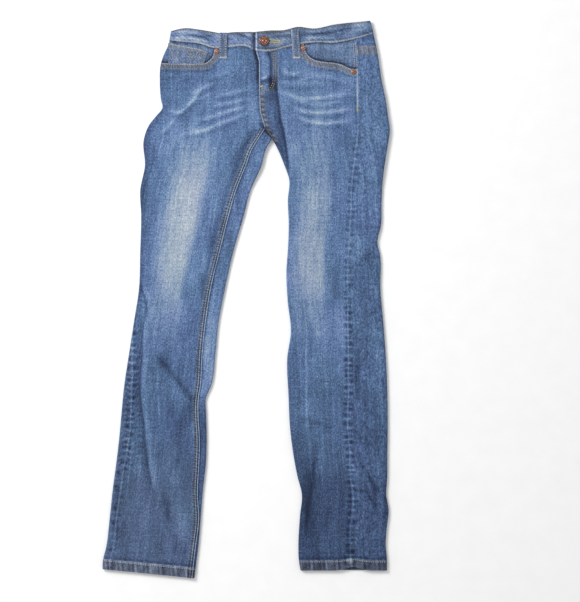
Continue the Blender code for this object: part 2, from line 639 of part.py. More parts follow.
def back_y(side, tube, ring, at_back, at_side, y):
    """y on a back row: level from the outseam round the rolled edge, then falling to the seat seam."""
    half = tube.half(y)
    x = tube.point(ring, y, 0.0, 0.0)[0]
    if side == "right":
        edge = tube.edges(y)[0] + ROLL
        share = (x - edge) / (back_middle(y) - edge)
    else:
        edge = tube.edges(y)[1] - ROLL
        share = (edge - x) / (edge - back_middle(y)) if ring > half else 0.0
    return at_side + (at_back - at_side) * min(max(share, 0.0), 1.0)


def build_backs():
    right = pairs(back_trunk("right", YOKE_SEAM, GAP))
    right_low = leg_grid(
        "right",
        lambda tube, y: (tube.half(y), 2 * tube.half(y) + right_seam(tube, y) - HALF_GAP),
        BACK_COLUMNS, lambda tube, y: back_spots("right", tube, min(y, GAP_Y)),
    )
    flap = []
    for row in range(CROTCH, GAP + 1):
        tube = right_leg if row == GAP else trunk
        y = TRUNK_ROWS[row][2]
        start = tube.top(crotch_inseam(y), y) + HALF_GAP
        end = tube.half(y) if row == GAP else tube.top(float(front_middle(y)), y) - HALF_GAP
        if row == CROTCH:
            start = end = tube.top(CROTCH_X, y)
        rings = spaced(start, end, FLAP_COLUMNS, [(end, TURN_SPAN, FLAP_TURN)])
        flap.append([wall_pair(tube, float(r), y) for r in rings])
    flap_low = leg_grid(
        "right",
        lambda tube, y: (tube.top(float(right_inseam(y)), y) + HALF_GAP, tube.half(y)),
        FLAP_COLUMNS, lambda tube, y: [(tube.half(y), TURN_SPAN, FLAP_TURN)],
    )
    shell("back_right_leg", [right + right_low, flap + flap_low], DENIM)
    left = pairs(back_trunk("left", YOKE_SEAM, GAP))
    left_low = leg_grid(
        "left",
        lambda tube, y: (
            left_seam(tube, y) + HALF_GAP,
            2 * tube.half(y) - max(float(left_inseam(y)), 0.0) - HALF_GAP,
        ),
        BACK_COLUMNS, lambda tube, y: [(tube.half(y), TURN_SPAN, BACK_TURN)],
    )
    shell("back_left_leg", [left + left_low], DENIM)
    for side in ("right", "left"):
        shell("yoke_" + side, [pairs(back_trunk(side, 0, YOKE_SEAM))], DENIM)


def build_facings():
    """The denim inside each pocket mouth, from the waistband's seam to the mouth's edge."""
    for side in ("right", "left"):
        right = side == "right"
        mouth_row = front_trunk(side)[0]
        end_x = RIGHT_MOUTH_END if right else LEFT_MOUTH_END
        place = 1 if right else 3
        xs = [trunk.point(ring, y, 0.0, 0.0)[0] for _, ring, y in mouth_row]
        last = int(np.argmin([abs(x - end_x) for x in xs]))
        mouth = mouth_row[: last + 1]
        side_low, side_high = TRUNK_ROWS[MOUTH][place], TRUNK_ROWS[0][place]
        grid = []
        for row in range(MOUTH + 1):
            share = (TRUNK_ROWS[row][place] - side_low) / (side_high - side_low)
            line = []
            for j, (_, ring, y_low) in enumerate(mouth):
                x = xs[j]
                y_high = float(waist_seam(x if j or right else left_outseam(side_high)))
                high, low = y_high - HALF_GAP - SEAM_EASE, y_low + SEAM_GAP
                if j == last:
                    high = low = float(waist_seam(x)) - HALF_GAP - 1.0
                y = low + (high - low) * share
                if j == 0:
                    there = right_seam(trunk, y) + HALF_GAP if right else left_seam(trunk, y) - HALF_GAP
                elif right and ring < QUARTER + 2:
                    there = ring
                else:
                    shift = min(j / 3, 1.0) * (SEAM_GAP if j < last else 4 * SEAM_GAP)
                    there = trunk.top(x + (-shift if right else shift), y)
                line.append(wall_pair(trunk, float(there), y, CLOTH, 0.0, MOUTH_RECESS * min(j / 4, 1.0)))
            grid.append(line)
        shell("pocket_facing_" + side, [grid], DEEP_DENIM)


def band_places():
    """The waistband's columns: ring place at its seam, x and whether it is on the top, lower end first."""
    y = 440.0
    half = band_tube.half(y)
    places = [band_tube.top(x, y) for x in LAP_UNDER + RIGHT_BAND_XS]
    places += list(BAND_TURN)
    unders = [BACK_SEAM[0][0], -90, -40, 0, BACK_MIDDLE_X, 76, 116, 166, BACK_SEAM[-1][0]]
    places += [band_tube.under(x, y) - 2 * half for x in unders]
    places += [turn - half for turn in BAND_TURN]
    places += [band_tube.top(x, y) - 2 * half for x in LEFT_BAND_XS]
    return places, y


def build_band():
    """The waistband, from its lower end under the lap, round the back, to its upper end."""
    places, middle = band_places()
    grid = []
    for share, proud in BAND_PROFILE:
        line = []
        for place in places:
            x, _, z = band_tube.point(place, middle, 0.0, 0.0)
            on_top = z > base(middle) + BAND_ROLL
            low, high = band_seam(x, on_top) + HALF_GAP, float(waist_top(x))
            y = low + (high - low) * share
            dip = 0.0
            if place > 0 and x > LAP_START - LAP_RAMP:
                dip = LAP_DIP * float(smooth_step((x - LAP_START + LAP_RAMP) / (LAP_RAMP - 2)))
            here = band_tube.point(band_place(place, middle, y), y, 0.0, 0.0)
            inner = band_tube.point(band_place(place, middle, y), y, BAND_CLOTH, 0.0)
            flatter = proud if on_top else 0.0
            line.append((
                (here[0], y, here[2] - NARROW - dip - flatter),
                (inner[0], y, inner[2] - NARROW - dip),
            ))
        grid.append(line)
    shell("waistband", [grid], DENIM)


def band_place(place, seam_y, y):
    """The same x at another y, or the same place on the rolled edge."""
    half, half_there = band_tube.half(seam_y), band_tube.half(y)
    x = band_tube.point(place, seam_y, 0.0, 0.0)[0]
    turn = math.pi * BAND_ROLL / 2
    if place > turn:
        return band_tube.top(x, y)
    if place > -turn:
        return place
    if place > turn - half:
        return band_tube.under(x, y) - 2 * half_there
    if place > -turn - half:
        return place + half - half_there
    return band_tube.top(x, y) - 2 * half_there


def top_height(x, y):
    """Height of the cloth's top at a place, band included."""
    height = base(y) + 2 * ROLL + max(relief(x, y), 0.0)
    if y > float(waist_seam(x)) - 3:
        height = base(y) + 2 * BAND_ROLL - NARROW
    return height


def strip(name, path):
    """A belt loop along a path of (x, y, height of its inner face)."""
    grid = []
    for x, y, z in path:
        line = []
        for across in LOOP_CROSS:
            crown = LOOP_CROWN * (1 - (2 * across) ** 2)
            edge = LOOP_EDGE if across in (LOOP_CROSS[0], LOOP_CROSS[-1]) else 0.0
            there = x + across * LOOP_WIDTH
            line.append(((there, y, z + LOOP_CLOTH + crown - edge), (there, y, z + crown / 2)))
        grid.append(line)
    shell(name, [grid], DENIM)


def build_loops():
    for name, x_top, y_top, x_low, y_low in FRONT_LOOPS:
        path = []
        for share in LOOP_SHARES:
            x, y = x_top + (x_low - x_top) * share, y_top + (y_low - y_top) * share
            heights = [top_height(x + dx, y + dy) for dx in (-7, 0, 7) for dy in (-4, 0, 4)]
            arch = LOOP_ARCH * math.sin(math.pi * min(share / LOOP_ARCH_END, 1.0))
            path.append((x, y, max(heights) + SEAM_GAP + arch))
        strip("belt_loop_" + name, path)
    for name, x in BACK_LOOPS:
        y_top, y_low = BACK_LOOP_SPAN
        flat_box("belt_loop_" + name, [(x - LOOP_WIDTH / 2, y_top), (x + LOOP_WIDTH / 2, y_top),
                                       (x + LOOP_WIDTH / 2, y_low), (x - LOOP_WIDTH / 2, y_low)], LOOP_CLOTH)


def flat_box(name, outline, thick):
    """A flat piece with this outline, lying on the surface."""
    count = len(outline)
    points = [(x, y, 0.0) for x, y in outline] + [(x, y, thick) for x, y in outline]
    faces = [list(range(count)), list(range(count, 2 * count))]
    faces += [[k, (k + 1) % count, (k + 1) % count + count, k + count] for k in range(count)]
    return mesh_object(name, points, faces, DENIM, CLOTH_ROUGHNESS)


def build_back_pockets():
    for side, middle, sign in POCKET_MIDDLES:
        corners = []
        for across, y in POCKET_SHAPE:
            fall = sign * POCKET_SLOPE * across if y > POCKET_TOP else 0.0
            corners.append((middle + across, y + fall))
        flat_box("back_pocket_" + side, corners, POCKET_CLOTH)


def build_coin_pocket():
    """The small patch in the wearer's right pocket mouth, lying on the facing."""
    grid = []
    for share in COIN_ROWS:
        line = []
        for across in COIN_COLUMNS:
            right_x = COIN_RIGHT_LOW + (COIN_RIGHT_TOP - COIN_RIGHT_LOW) * share
            x = COIN_LEFT_X + (right_x - COIN_LEFT_X) * across
            high = float(waist_seam(x)) - COIN_DROP - COIN_FALL * across
            y = COIN_LOW_Y + (high - COIN_LOW_Y) * share
            sink = MOUTH_RECESS * min(max((x - COIN_EDGE_X) / COIN_EDGE_RUN, 0.0), 1.0)
            z = base(y) + 2 * ROLL - sink + SEAM_GAP
            line.append(((x, y, z + COIN_CLOTH), (x, y, z)))
        grid.append(line)
    shell("coin_pocket", [grid], DENIM)


def turned(name, x, y, z, profile, segments):
    """A turned metal piece: profile rows are (radius, height), foot first."""
    points, faces = [], []
    for radius, height in profile:
        for k in range(segments):
            turn = 2 * math.pi * k / segments
            points.append((x + radius * math.cos(turn), y + radius * math.sin(turn), z + height))
    for level in range(len(profile) - 1):
        for k in range(segments):
            a, b = level * segments + k, level * segments + (k + 1) % segments
            faces.append([a, b, b + segments, a + segments])
    faces.append(list(range(segments)))
    faces.append(list(range((len(profile) - 1) * segments, len(profile) * segments)))
    return mesh_object(name, points, faces, COPPER, METAL_ROUGHNESS, 1.0)


def build_metal():
    x, y = BUTTON_AT
    profile = [(r * BUTTON_RADIUS, h * BUTTON_HEIGHT) for r, h in BUTTON_PROFILE]
    turned("button", x, y, top_height(x, y) + SEAM_GAP, profile, BUTTON_SEGMENTS)
    dome = [(r * RIVET_RADIUS, h * RIVET_HEIGHT) for r, h in RIVET_PROFILE]
    for name, x, y in RIVETS:
        turned("rivet_" + name, x, y, top_height(x, y) + SEAM_GAP, dome, RIVET_SEGMENTS)


def clear_scene():
    for thing in list(bpy.data.objects):
        bpy.data.objects.remove(thing, do_unlink=True)


clear_scene()
build_fronts()
build_backs()
build_facings()
build_band()
build_loops()
build_back_pockets()
build_coin_pocket()
build_metal()
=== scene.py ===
"""The looks of a pair of skinny jeans that lie flat, front up.

Lengths are in millimetres until MM turns them to metres. The denim repeats the flattened tubes of the
solids on a finer grid, with their folds, whiskers and seams. A place on a tube is given by its y and its
ring place: the length along the tube's outline from the middle of its edge at the lower x, over the top to
the other edge and back along the underside. Left and right are the wearer's in names, and the wearer's
right lies at the lower x.
"""
import math

import bpy
import numpy as np
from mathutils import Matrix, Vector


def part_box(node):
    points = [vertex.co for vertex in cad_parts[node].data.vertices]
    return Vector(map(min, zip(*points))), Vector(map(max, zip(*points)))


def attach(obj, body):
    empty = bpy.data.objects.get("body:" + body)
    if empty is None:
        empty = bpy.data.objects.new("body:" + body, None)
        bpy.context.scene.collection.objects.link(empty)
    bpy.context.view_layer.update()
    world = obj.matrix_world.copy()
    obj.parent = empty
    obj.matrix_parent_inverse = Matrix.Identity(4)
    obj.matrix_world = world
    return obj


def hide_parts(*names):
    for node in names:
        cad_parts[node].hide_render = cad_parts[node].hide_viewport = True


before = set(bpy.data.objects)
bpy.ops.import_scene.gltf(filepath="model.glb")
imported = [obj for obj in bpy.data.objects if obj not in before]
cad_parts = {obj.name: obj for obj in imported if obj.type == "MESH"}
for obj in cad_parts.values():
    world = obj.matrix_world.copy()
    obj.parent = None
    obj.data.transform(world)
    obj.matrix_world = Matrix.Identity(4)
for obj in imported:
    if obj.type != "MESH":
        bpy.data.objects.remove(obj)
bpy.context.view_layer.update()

MM = 0.001
CLOTH = 1.3  # wall of the denim
BAND_CLOTH = 2.3
SEAM_GAP = 0.1  # sewn panels all but meet
HALF_GAP = SEAM_GAP / 2
ROLL = 3.2  # radius of a rolled edge
BAND_ROLL = 3.8
UNDER_CLEAR = 0.35  # the underside stands this clear of the floor, for its stitches
SEAT_LIFT = 1.9
LIFT_START, LIFT_FULL = 190.0, 225.0
HEM_TOP, HEM_RAISE = 18.0, 0.9
NARROW = 0.4
CROTCH_Y, GAP_Y = 292.5, 276.0
CROTCH_X, GAP_X = 32.5, 45.0
PINCH_START = 300.0  # y where the rolled edges of the two legs start to show beside the seat seam
LAP_START, LAP_END, LAP_DIP, LAP_RAMP = 17.0, 45.0, 2.6, 12.0
BACK_MIDDLE_X = 38.0
QUARTER = math.pi * ROLL / 2

FELL_WIDTH, FELL_HEIGHT = 9.0, 0.8  # the felled inseam
FLY_RIDGE_WIDTH, FLY_RIDGE_HEIGHT, FLY_RIDGE_END = 20.0, 1.2, 345.0
FLY_END_Y, FLY_WIDTH = 356.0, 36.0
SEAM_BAND_WIDTH, SEAM_DOT_PITCH = 11.5, 8.8
MOUTH_RECESS = 1.6  # how far the pocket's facings lie below the fronts
FACING_LAP = 2.0
TRUNK_TOP, SCOOP_Y, BAND_Y = 420.0, 415.0, 440.0  # heights from which rows and columns are first laid out
FAR = 99.0  # a distance that counts as far away

# Spacing of the cloth's grid, and the widths that set how many columns each panel has.
ROW_STEP, COLUMN_STEP = 2.15, 2.0
PANEL_WIDTH, UNDER_WIDTH, FLAP_WIDTH, YOKE_WIDTH, FACING_WIDTH = 170, 24, 36, 180, 90
LAST_LEG_ROW = 19.2  # height over the hem at which its own, closer rows begin
HEM_ROWS = (18.6, 17.9, 17.2, 16.5, 15.0, 13.2, 11.4, 9.6, 7.8, 6.0, 4.2, 2.6, 1.4, 0.6, 0.0)

# The outer edges and the outseams, waist to hem: (y, x of the edge, x of the outseam).
# The right outseam is told from its edge: the length over the top, or along the underside if negative.
RIGHT_SIDE = (
    (480, -127, -4), (455, -129, -4), (436, -133.5, -4), (420, -141, -4), (405, -146, -3),
    (377, -148, 1.5), (343, -146, 3), (327, -144, 3), (315, -154, -2), (298, -167, -6),
    (276, -175, -8), (229, -173.5, -8), (188, -181.5, -8), (145, -180, -8), (85, -181.5, -8),
    (16, -184, -8), (-36, -192, -2), (-94, -201, 8), (-147, -209, 15), (-198, -214, 18),
    (-241, -218, 19), (-283, -223, 16), (-328, -229, 15), (-380, -234.5, 13), (-422, -239.5, 14),
    (-451, -246, 14), (-480, -245.5, 14),
)
LEFT_SIDE = (
    (480, 212.5, 189), (455, 219, 189), (436, 223.5, 189.5), (420, 226.5, 190.5), (400, 229.5, 192),
    (377, 233, 192.5), (343, 240, 192.5), (315, 244, 192.5), (291, 247, 192.5), (267, 244, 189),
    (243, 240, 187), (205, 235, 182.5), (171, 233, 181), (128, 232, 179), (97, 226, 177),
    (78, 230, 176), (16, 231, 175), (-36, 235.5, 175.5), (-94, 240, 176), (-147, 242.5, 176),
    (-216, 243.5, 174.5), (-259, 243, 178), (-310, 242.5, 180), (-334, 241, 183), (-362, 245, 182.5),
    (-396, 241.5, 179), (-422, 240, 179), (-444, 242, 179), (-471, 242.5, 179),
)
# The legs' inner edges, gap to hem. The right inseam lies on top: (y, x of the edge, x of the inseam).
# The left inseam lies on the underside: (y, x of the edge, its length from the edge).
RIGHT_INNER = (
    (276, 45, 22), (260, 35.5, 12), (229, 26.5, 0), (188, 8, -16.5), (145, -3.5, -29),
    (85, -21, -44), (16, -36.5, -60.5), (-36, -46.5, -68.5), (-94, -52.5, -74.5), (-147, -59.5, -77.5),
    (-171, -69, -81), (-194, -68.5, -81.5), (-241, -67.5, -79), (-283, -69, -80), (-328, -74, -82.5),
    (-380, -78, -80.5), (-422, -81.5, -85.5), (-451, -85, -89), (-480, -88.5, -92),
)
LEFT_INNER = (
    (276, 45, 0), (257, 55, 16), (229, 66.5, 38), (207, 74, 46), (171, 72, 54), (128, 73.5, 58),
    (85, 72, 60), (50, 69.5, 60), (-1, 71.5, 58), (-57, 77, 56), (-100, 71, 55), (-164, 73, 54),
    (-224, 76, 52), (-267, 81.5, 50), (-302, 88, 48), (-336, 96, 46), (-370, 93, 45), (-422, 90, 44),
    (-444, 90.5, 44), (-471, 94.5, 44),
)
BACK_SEAM = ((-129, 444), (BACK_MIDDLE_X, 429), (215, 455))  # the waistband's seam on the underside
# The back's rows, as y at three seams: (right outseam, left outseam, back middle).
BACK_ROWS = (
    (444, 447, 429), (432.5, 432.5, 405), (421, 420, 381), (406, 395.5, 367), (386, 377.5, 353),
    (364, 358, 339), (343, 341, 326), (327, 324, 314), (310, 308, 302), (CROTCH_Y, CROTCH_Y, 290),
    (284, 284, 283), (GAP_Y, GAP_Y, GAP_Y),
)
YOKE_SEAM = 2
# The waistband's edges: (x, y of the upper edge, y of the seam).
WAIST = (
    (-129, 460, 444), (-105, 465, 441), (-79, 462.5, 438.5), (-55, 458.5, 431), (-41, 456, 431),
    (-24, 458, 433), (-2, 458.5, 434.5), (17, 459, 427), (41, 461, 425.5), (67, 462, 431.5),
    (87, 467, 436.5), (118, 464.5, 440.5), (153, 471.5, 440), (179, 474.5, 444.5), (196, 476, 448.5),
    (215, 478, 455),
)
# The fly's edge and the seat seam down to where the legs part: (y, x).
FRONT_MIDDLE = (
    (440, 17), (426, 17), (408, 22.5), (351, 22.5), (321, 24), (305, 29), (CROTCH_Y, CROTCH_X),
    (GAP_Y, GAP_X),
)
# The scooped edges of the fronts, (x, y), from the side seam up to the waistband.
RIGHT_MOUTH = (
    (-150, 406), (-129, 405), (-105, 404.5), (-79, 404.5), (-69, 406), (-62, 411), (-57, 417),
    (-55, 424), (-53.5, 432),
)
LEFT_MOUTH = (
    (196, 395.5), (179, 396), (166, 402), (153, 405.5), (135, 407.5), (118, 411), (106, 419.5),
    (101.5, 429), (100, 440),
)
RIGHT_HEM_SLOPE, LEG_TILT_START = -0.1, -150.0
RIGHT_HEM_Y, LEFT_HEM_Y = -470.5, -465.0
HEM_ARCH, HEM_ARCH_X, HEM_ARCH_WIDTH = 6.0, 184.0, 24.0

# The largest folds. A step is raised on its right and sunk on its left: (y, x, height, sink).
FLY_FOLD = ((385, 50, 0, 0), (343, 56, 1.6, 1.4), (312, 60, 2.2, 2.2), (272, 69, 2.4, 2.4),
            (240, 73, 1.8, 2.0), (205, 74, 0, 0))
SHIN_FOLD = ((30, -181, 0, 0), (-16, -168.5, 1.6, 1.2), (-50, -175, 2.0, 1.6), (-94, -177.5, 2.2, 1.8),
             (-170, -179.5, 2.2, 1.8), (-218, -173.5, 2.2, 1.8), (-262, -170, 1.8, 1.6),
             (-306, -163.5, 1.2, 1.0), (-345, -156, 0, 0))
STEP_LIP, STEP_TAIL, SINK_WIDTH = 5.0, 26.0, 9.0
# Creases along paths: (path, height over the cloth, half width, change of the dye). A darker change on a sunk
# crease is partly the dye and partly painted shade.
CREASES = (
    (((-150, -100), (-136, -116), (-122, -132), (-106, -154), (-94, -169), (-71, -171)), -1.8, 4.6, -0.11),
    (((-153, -92), (-143, -106), (-136, -120)), -0.3, 9.0, -0.06),
    (((-93, -166), (-92, -190), (-97, -215)), -0.5, 6.0, -0.07),
    (((-139, -338), (-133, -360), (-131, -384)), -1.0, 5.0, -0.08),
    (((-117, -335), (-112, -366), (-108, -392), (-104, -425)), 0.4, 14.0, 0.05),
    (((-151, -118), (-151, -160), (-148, -208)), 0.0, 1.9, 0.075),
    (((-164, -125), (-163, -160), (-160, -200)), 0.0, 1.9, 0.04),
    (((-118, -280), (-116, -330)), 0.0, 2.2, 0.03),
    (((104, -60), (104, -150), (105, -245)), 0.2, 1.9, 0.09),
    (((150, -150), (150, -240)), 0.0, 1.9, 0.04),
    (((117, -30), (118, -190)), 0.0, 1.8, 0.04), (((136, -60), (137, -200)), 0.0, 1.8, 0.04),
    (((131, -200), (132, -330)), 0.0, 2.0, 0.035),
    (((90, -375), (88, -405)), 0.0, 3.0, 0.05),
    (((24, 303), (31, 294), (38, 287), (47, 276)), -0.8, 3.6, -0.26),
    (((203, 40), (214, 62), (228, 82)), 0.0, 8.0, -0.03),
    (((226, 90), (210, 71), (192, 50)), -1.8, 7.0, -0.05),
    (((88, -207), (118, -212), (148, -219)), -1.2, 6.0, -0.06),
    (((121, -246), (119, -275), (114, -325), (107, -360), (105, -405)), -1.5, 3.8, -0.1),
    (((112, -250), (106, -320), (104, -390)), 0.0, 10.0, -0.04),
    (((108, -300), (104, -350), (101, -395)), -0.4, 11.0, -0.05),
    (((197, -278), (201, -286), (211, -302), (227, -334)), -1.5, 3.4, -0.12),
    (((186, -333), (196, -330), (206, -329), (220, -349), (229, -372)), -1.2, 3.6, -0.1),
    (((184, -288), (190, -298), (196, -312)), 1.0, 7.0, 0.08),
    (((160, 60), (153, 20), (150, -20)), -0.3, 13.0, -0.05),
    (((-150, -72), (-143, -92)), -0.3, 8.0, 0.04),
    (((-95, -178), (-103, -200), (-110, -228)), -1.2, 8.0, -0.05),
    (((105, -85), (103, -160), (106, -245)), 0.8, 9.0, 0.035),
    (((101, -366), (98, -382)), 0.8, 4.0, 0.08),
    (((168, -427), (194, -427)), -0.6, 6.0, -0.05),
    (((177, -443), (178, -455)), 0.5, 5.0, 0.24),
    (((181, -430), (184, -438)), -0.5, 4.5, -0.12),
    (((170, -438), (171, -456)), -0.5, 1.8, -0.16),
    (((-178, 18), (-174, -14), (-175, -46)), 0.5, 5.0, 0.12),
    (((-160, 96), (-163, 40), (-158, -30)), 0.5, 8.0, 0.0),
    (((150, 250), (156, 200), (150, 130)), -0.5, 9.0, -0.02),
    (((-60, 60), (-70, 0), (-84, -60)), 0.5, 9.0, 0.0),
    (((-232, -425), (-231, -432)), -0.5, 3.6, -0.18),
)
# Dark spots in small dents beside the right outseam, low on the leg, partly dye and partly painted shade: (x,
# y of the upper end, change of the dye).
OUTSEAM_SPOTS = ((-219, -294, -0.2), (-222, -318, -0.2), (-225, -354, -0.22), (-227, -381, -0.2))
SPOT_LENGTH, SPOT_DEPTH, SPOT_WIDTH = 6, 0.5, 3.2
CREASES += tuple(
    (((x, y), (x, y - SPOT_LENGTH)), -SPOT_DEPTH, SPOT_WIDTH, change) for x, y, change in OUTSEAM_SPOTS
)
# Worn lines over the hips: (path, strength).
WHISKERS = (
    (((-28, 392), (-46, 385), (-64, 380)), 0.7), (((-51, 373), (-65, 366), (-77, 362), (-92, 351)), 0.9),
    (((-76, 361), (-95, 336), (-108, 324), (-121, 315)), 1.2), (((-112, 322), (-124, 321), (-136, 327)), 0.7),
    (((9, 362), (-24, 354), (-49, 349)), 0.9), (((8, 346), (-29, 337), (-58, 332)), 1.0),
    (((4, 333), (-36, 321), (-53, 314), (-86, 306)), 1.1),
    (((6, 321), (-28, 307), (-45, 302), (-62, 293), (-79, 288), (-108, 285)), 1.2),
    (((-120, 311), (-134, 297), (-145, 284)), 0.8), (((60, 394), (71, 388), (83, 387), (97, 390)), 0.9),
    (((56, 372), (79, 370), (101, 371), (138, 372)), 0.6),
    (((58, 358), (76, 350), (95, 343), (119, 345), (144, 348), (181, 354)), 1.1),
    (((96, 378), (120, 383), (150, 381), (172, 372)), 0.55), (((-60, 352), (-84, 343), (-104, 334)), 0.5),
    (((65, 344), (93, 338), (119, 335), (144, 336), (172, 344)), 0.8),
    (((79, 331), (101, 322), (127, 320), (153, 322), (181, 328)), 1.2),
    (((86, 318), (101, 307), (119, 304), (136, 302), (153, 303), (181, 306)), 1.1),
)
WHISKER_WIDTH, WHISKER_HEIGHT, WHISKER_WEAR = 2.6, 0.45, 0.1
# Levels of the dye, from dark at 0 to white at 1, down each panel: (y, level).
RIGHT_LEVELS = ((440, 0.42), (380, 0.41), (330, 0.43), (290, 0.45), (200, 0.455), (0, 0.44), (-60, 0.41),
                (-150, 0.39), (-300, 0.37), (-440, 0.37), (-475, 0.38))
LEFT_LEVELS = ((440, 0.43), (350, 0.44), (240, 0.455), (150, 0.46), (0, 0.46), (-60, 0.46), (-130, 0.41),
               (-200, 0.39), (-270, 0.35), (-330, 0.30), (-440, 0.285), (-475, 0.31))
LEFT_BACK_LEVELS = ((440, 0.45), (243, 0.435), (100, 0.425), (-100, 0.40), (-330, 0.35), (-475, 0.32))
FLAP_LEVELS = ((300, 0.34), (280, 0.41), (240, 0.43), (170, 0.42), (0, 0.475), (-100, 0.52), (-168, 0.48),
               (-190, 0.37), (-300, 0.36), (-475, 0.38))
RIGHT_STRIP_LEVELS = ((480, 0.40), (300, 0.40), (0, 0.42), (-60, 0.40), (-150, 0.375), (-475, 0.38))
UNDER_LEVELS = ((480, 0.44), (330, 0.50), (220, 0.49), (60, 0.44), (-100, 0.46), (-250, 0.40), (-475, 0.37))
# The worn thighs: (y, x of the middle, strength).
RIGHT_FADE = ((310, -84, 0.01), (262, -86, 0.075), (240, -89, 0.14), (206, -97, 0.18), (171, -103, 0.21),
              (137, -109, 0.215), (102, -116, 0.205), (68, -121, 0.19), (34, -127, 0.155), (-1, -133, 0.11),
              (-35, -138, 0.085), (-100, -142, 0.0))
LEFT_FADE = ((320, 118, 0.02), (240, 119, 0.06), (171, 118, 0.1), (137, 115, 0.12), (85, 109, 0.14),
             (51, 108, 0.14), (16, 108, 0.1), (-35, 110, 0.05), (-110, 112, 0.0))
# Creases and worn places of the waistband: (path, half width, change of the dye, height). A darker change on
# a sunk crease is partly the dye and partly painted shade, and the dark line just right of the right front
# loop is its painted shadow.
BAND_MARKS = (
    (((-80, 460), (-71, 454), (-60, 452), (-54, 456)), 1.8, -0.16, -0.5),
    (((-99, 453.5), (-84, 452.3), (-71, 448.6), (-60, 443.3)), 1.7, -0.19, -0.6),
    (((-127, 448.5), (-97, 447.5), (-75, 443.2), (-63, 439)), 3.2, 0.17, 0.4),
    (((-123, 458), (-97, 458), (-80, 456)), 3.0, 0.1, 0.3), (((-126, 453), (-112, 453)), 2.0, -0.06, 0.0),
    (((-30, 458), (-13, 456), (-1, 451), (13, 443)), 1.8, -0.18, -0.6),
    (((-24, 452), (-19, 446), (-14, 443)), 4.0, 0.1, 0.3), (((0, 455), (10, 450)), 2.6, 0.08, 0.2),
    (((-31, 456), (-31, 436)), 2.4, -0.12, 0.0), (((42, 455), (60, 452), (78, 454)), 5.0, -0.08, -0.3),
    (((24, 431), (52, 430.5), (74, 436)), 3.0, -0.15, -0.2),
    (((102, 453.6), (131, 455.8), (153, 459.4), (181, 466.5)), 1.8, -0.19, -0.7),
    (((100, 448), (120, 447.5), (143, 448)), 4.0, 0.14, 0.4), (((150, 450), (165, 452)), 3.0, -0.06, -0.2),
    (((170, 457), (195, 462), (212, 468)), 3.5, 0.08, 0.2), (((150, 466), (185, 473)), 2.5, -0.07, -0.2),
    (((24, 456), (44, 457), (72, 460)), 2.2, -0.06, 0.0), (((60, 446), (74, 448)), 3.0, 0.05, 0.2),
)
# Plain levels of the dye on the small pieces.
FACING_LEVELS = {"right": 0.42, "left": 0.445}
YOKE_LEVEL, LOOP_LEVEL, POCKET_LEVEL, COIN_LEVEL = 0.45, 0.405, 0.47, 0.465
BAND_RIGHT_LEVEL, BAND_LEFT_LEVEL, BAND_UNDER_LEVEL, BAND_CHANGE_X = 0.482, 0.452, 0.45, 10
LOOP_GREY, POCKET_GREY = 0.35, 0.2
# Rows of the waistband, as shares of its height.
BAND_ROWS = (0.0, 0.015, 0.04, 0.08, 0.14, 0.2, 0.28, 0.36, 0.44,
             0.52, 0.6, 0.68, 0.76, 0.84, 0.9, 0.95, 0.98, 1.0)
# Soft stripes of the dye along lines: (distance of the middle from the line, half width, change).
MOUTH_STRIPES = ((0.0, 1.1, 0.15), (10.4, 1.0, 0.03), (13.5, 2.0, -0.06))
HEM_STRIPES = ((0.0, 1.3, 0.08), (HEM_TOP - 0.8, 1.0, 0.18), (HEM_TOP + 2.5, 2.5, -0.1))
FELL_LINES, FELL_LINE_LEVEL = ((0.5, 1.0, 0.85), (4.6, 0.9, 0.6)), 0.74
# Along the fly's ridge the paler stripe is a painted highlight.
FLY_STRIPES = ((9.0, 6.0, 0.06), (3.4, 1.4, -0.07))
BAND_STRIPES = ((0.95, 0.06, -0.13), (0.8, 0.07, 0.06), (0.06, 0.05, 0.12), (0.16, 0.05, -0.08))
LAP_STRIPES = ((0.0, 1.9, 0.3), (4.5, 1.5, -0.1))
LOOP_STRIPES = ((0.47, 0.06, 0.2), (0.34, 0.06, -0.12), (0.12, 0.05, 0.05))
# Marks inside the fly: (path, half width, change of the dye): a pale crease line, with painted shade below it
# and in a hollow beside the curved band.
FLY_MARKS = (
    (((26, 377.4), (37, 382.3)), 1.3, 0.3), (((25, 372), (31, 373), (38, 375)), 3.6, -0.2),
    (((38, 381), (42.5, 374), (43.5, 363)), 4.0, -0.24),
)

INSIDE_LEVEL, INSIDE_SHARE = 0.36, 0.3  # the cloth's inner face is paler and more even

LOOP_WIDTH, LOOP_CLOTH = 13.0, 1.2
POCKET_CLOTH = 1.6
FRONT_LOOPS = (("right", -39, 457.0, -38.5, 413.0), ("left", 84, 464.0, 87.5, 413.0))
LOOP_CROSS = (-0.5, -0.48, -0.44, -0.38, -0.3, -0.2, -0.1, 0.0, 0.1, 0.2, 0.3, 0.38, 0.44, 0.48, 0.5)
BACK_LOOPS = (("back_right", -62.0), ("back_middle", 38.0), ("back_left", 140.0))
BACK_LOOP_SPAN = (456.0, 412.0)
COIN_LEFT_X, COIN_RIGHT_TOP, COIN_RIGHT_LOW, COIN_LOW_Y, COIN_DROP = -133.0, -65.5, -72.5, 406.3, 4.5
COIN_CLOTH = 1.0
# Rows of ticks on the coin pocket: (share of its height, first and last share of its width, thread).
COIN_TICKS = (
    (0.60, 0.05, 0.27, "pale"), (0.42, 0.05, 0.27, "tan"), (0.24, 0.05, 0.27, "pale"),
    (0.62, 0.50, 0.92, "yellow"), (0.44, 0.50, 0.90, "pale"), (0.26, 0.50, 0.88, "tan"),
)
COIN_TICK_PITCH = 0.042
POCKET_SHAPE = ((-64, 381.0), (64, 381.0), (58, 270.0), (0, 250.0), (-58, 270.0))
POCKET_SLOPE = 0.15
POCKET_MIDDLES = (("right", -56.0, -1.0), ("left", 129.0, 1.0))
BUTTON_AT, BUTTON_RADIUS, BUTTON_HEIGHT = (31.0, 443.0), 8.6, 3.4
RIVET_RADIUS, RIVET_HEIGHT = 4.4, 1.8
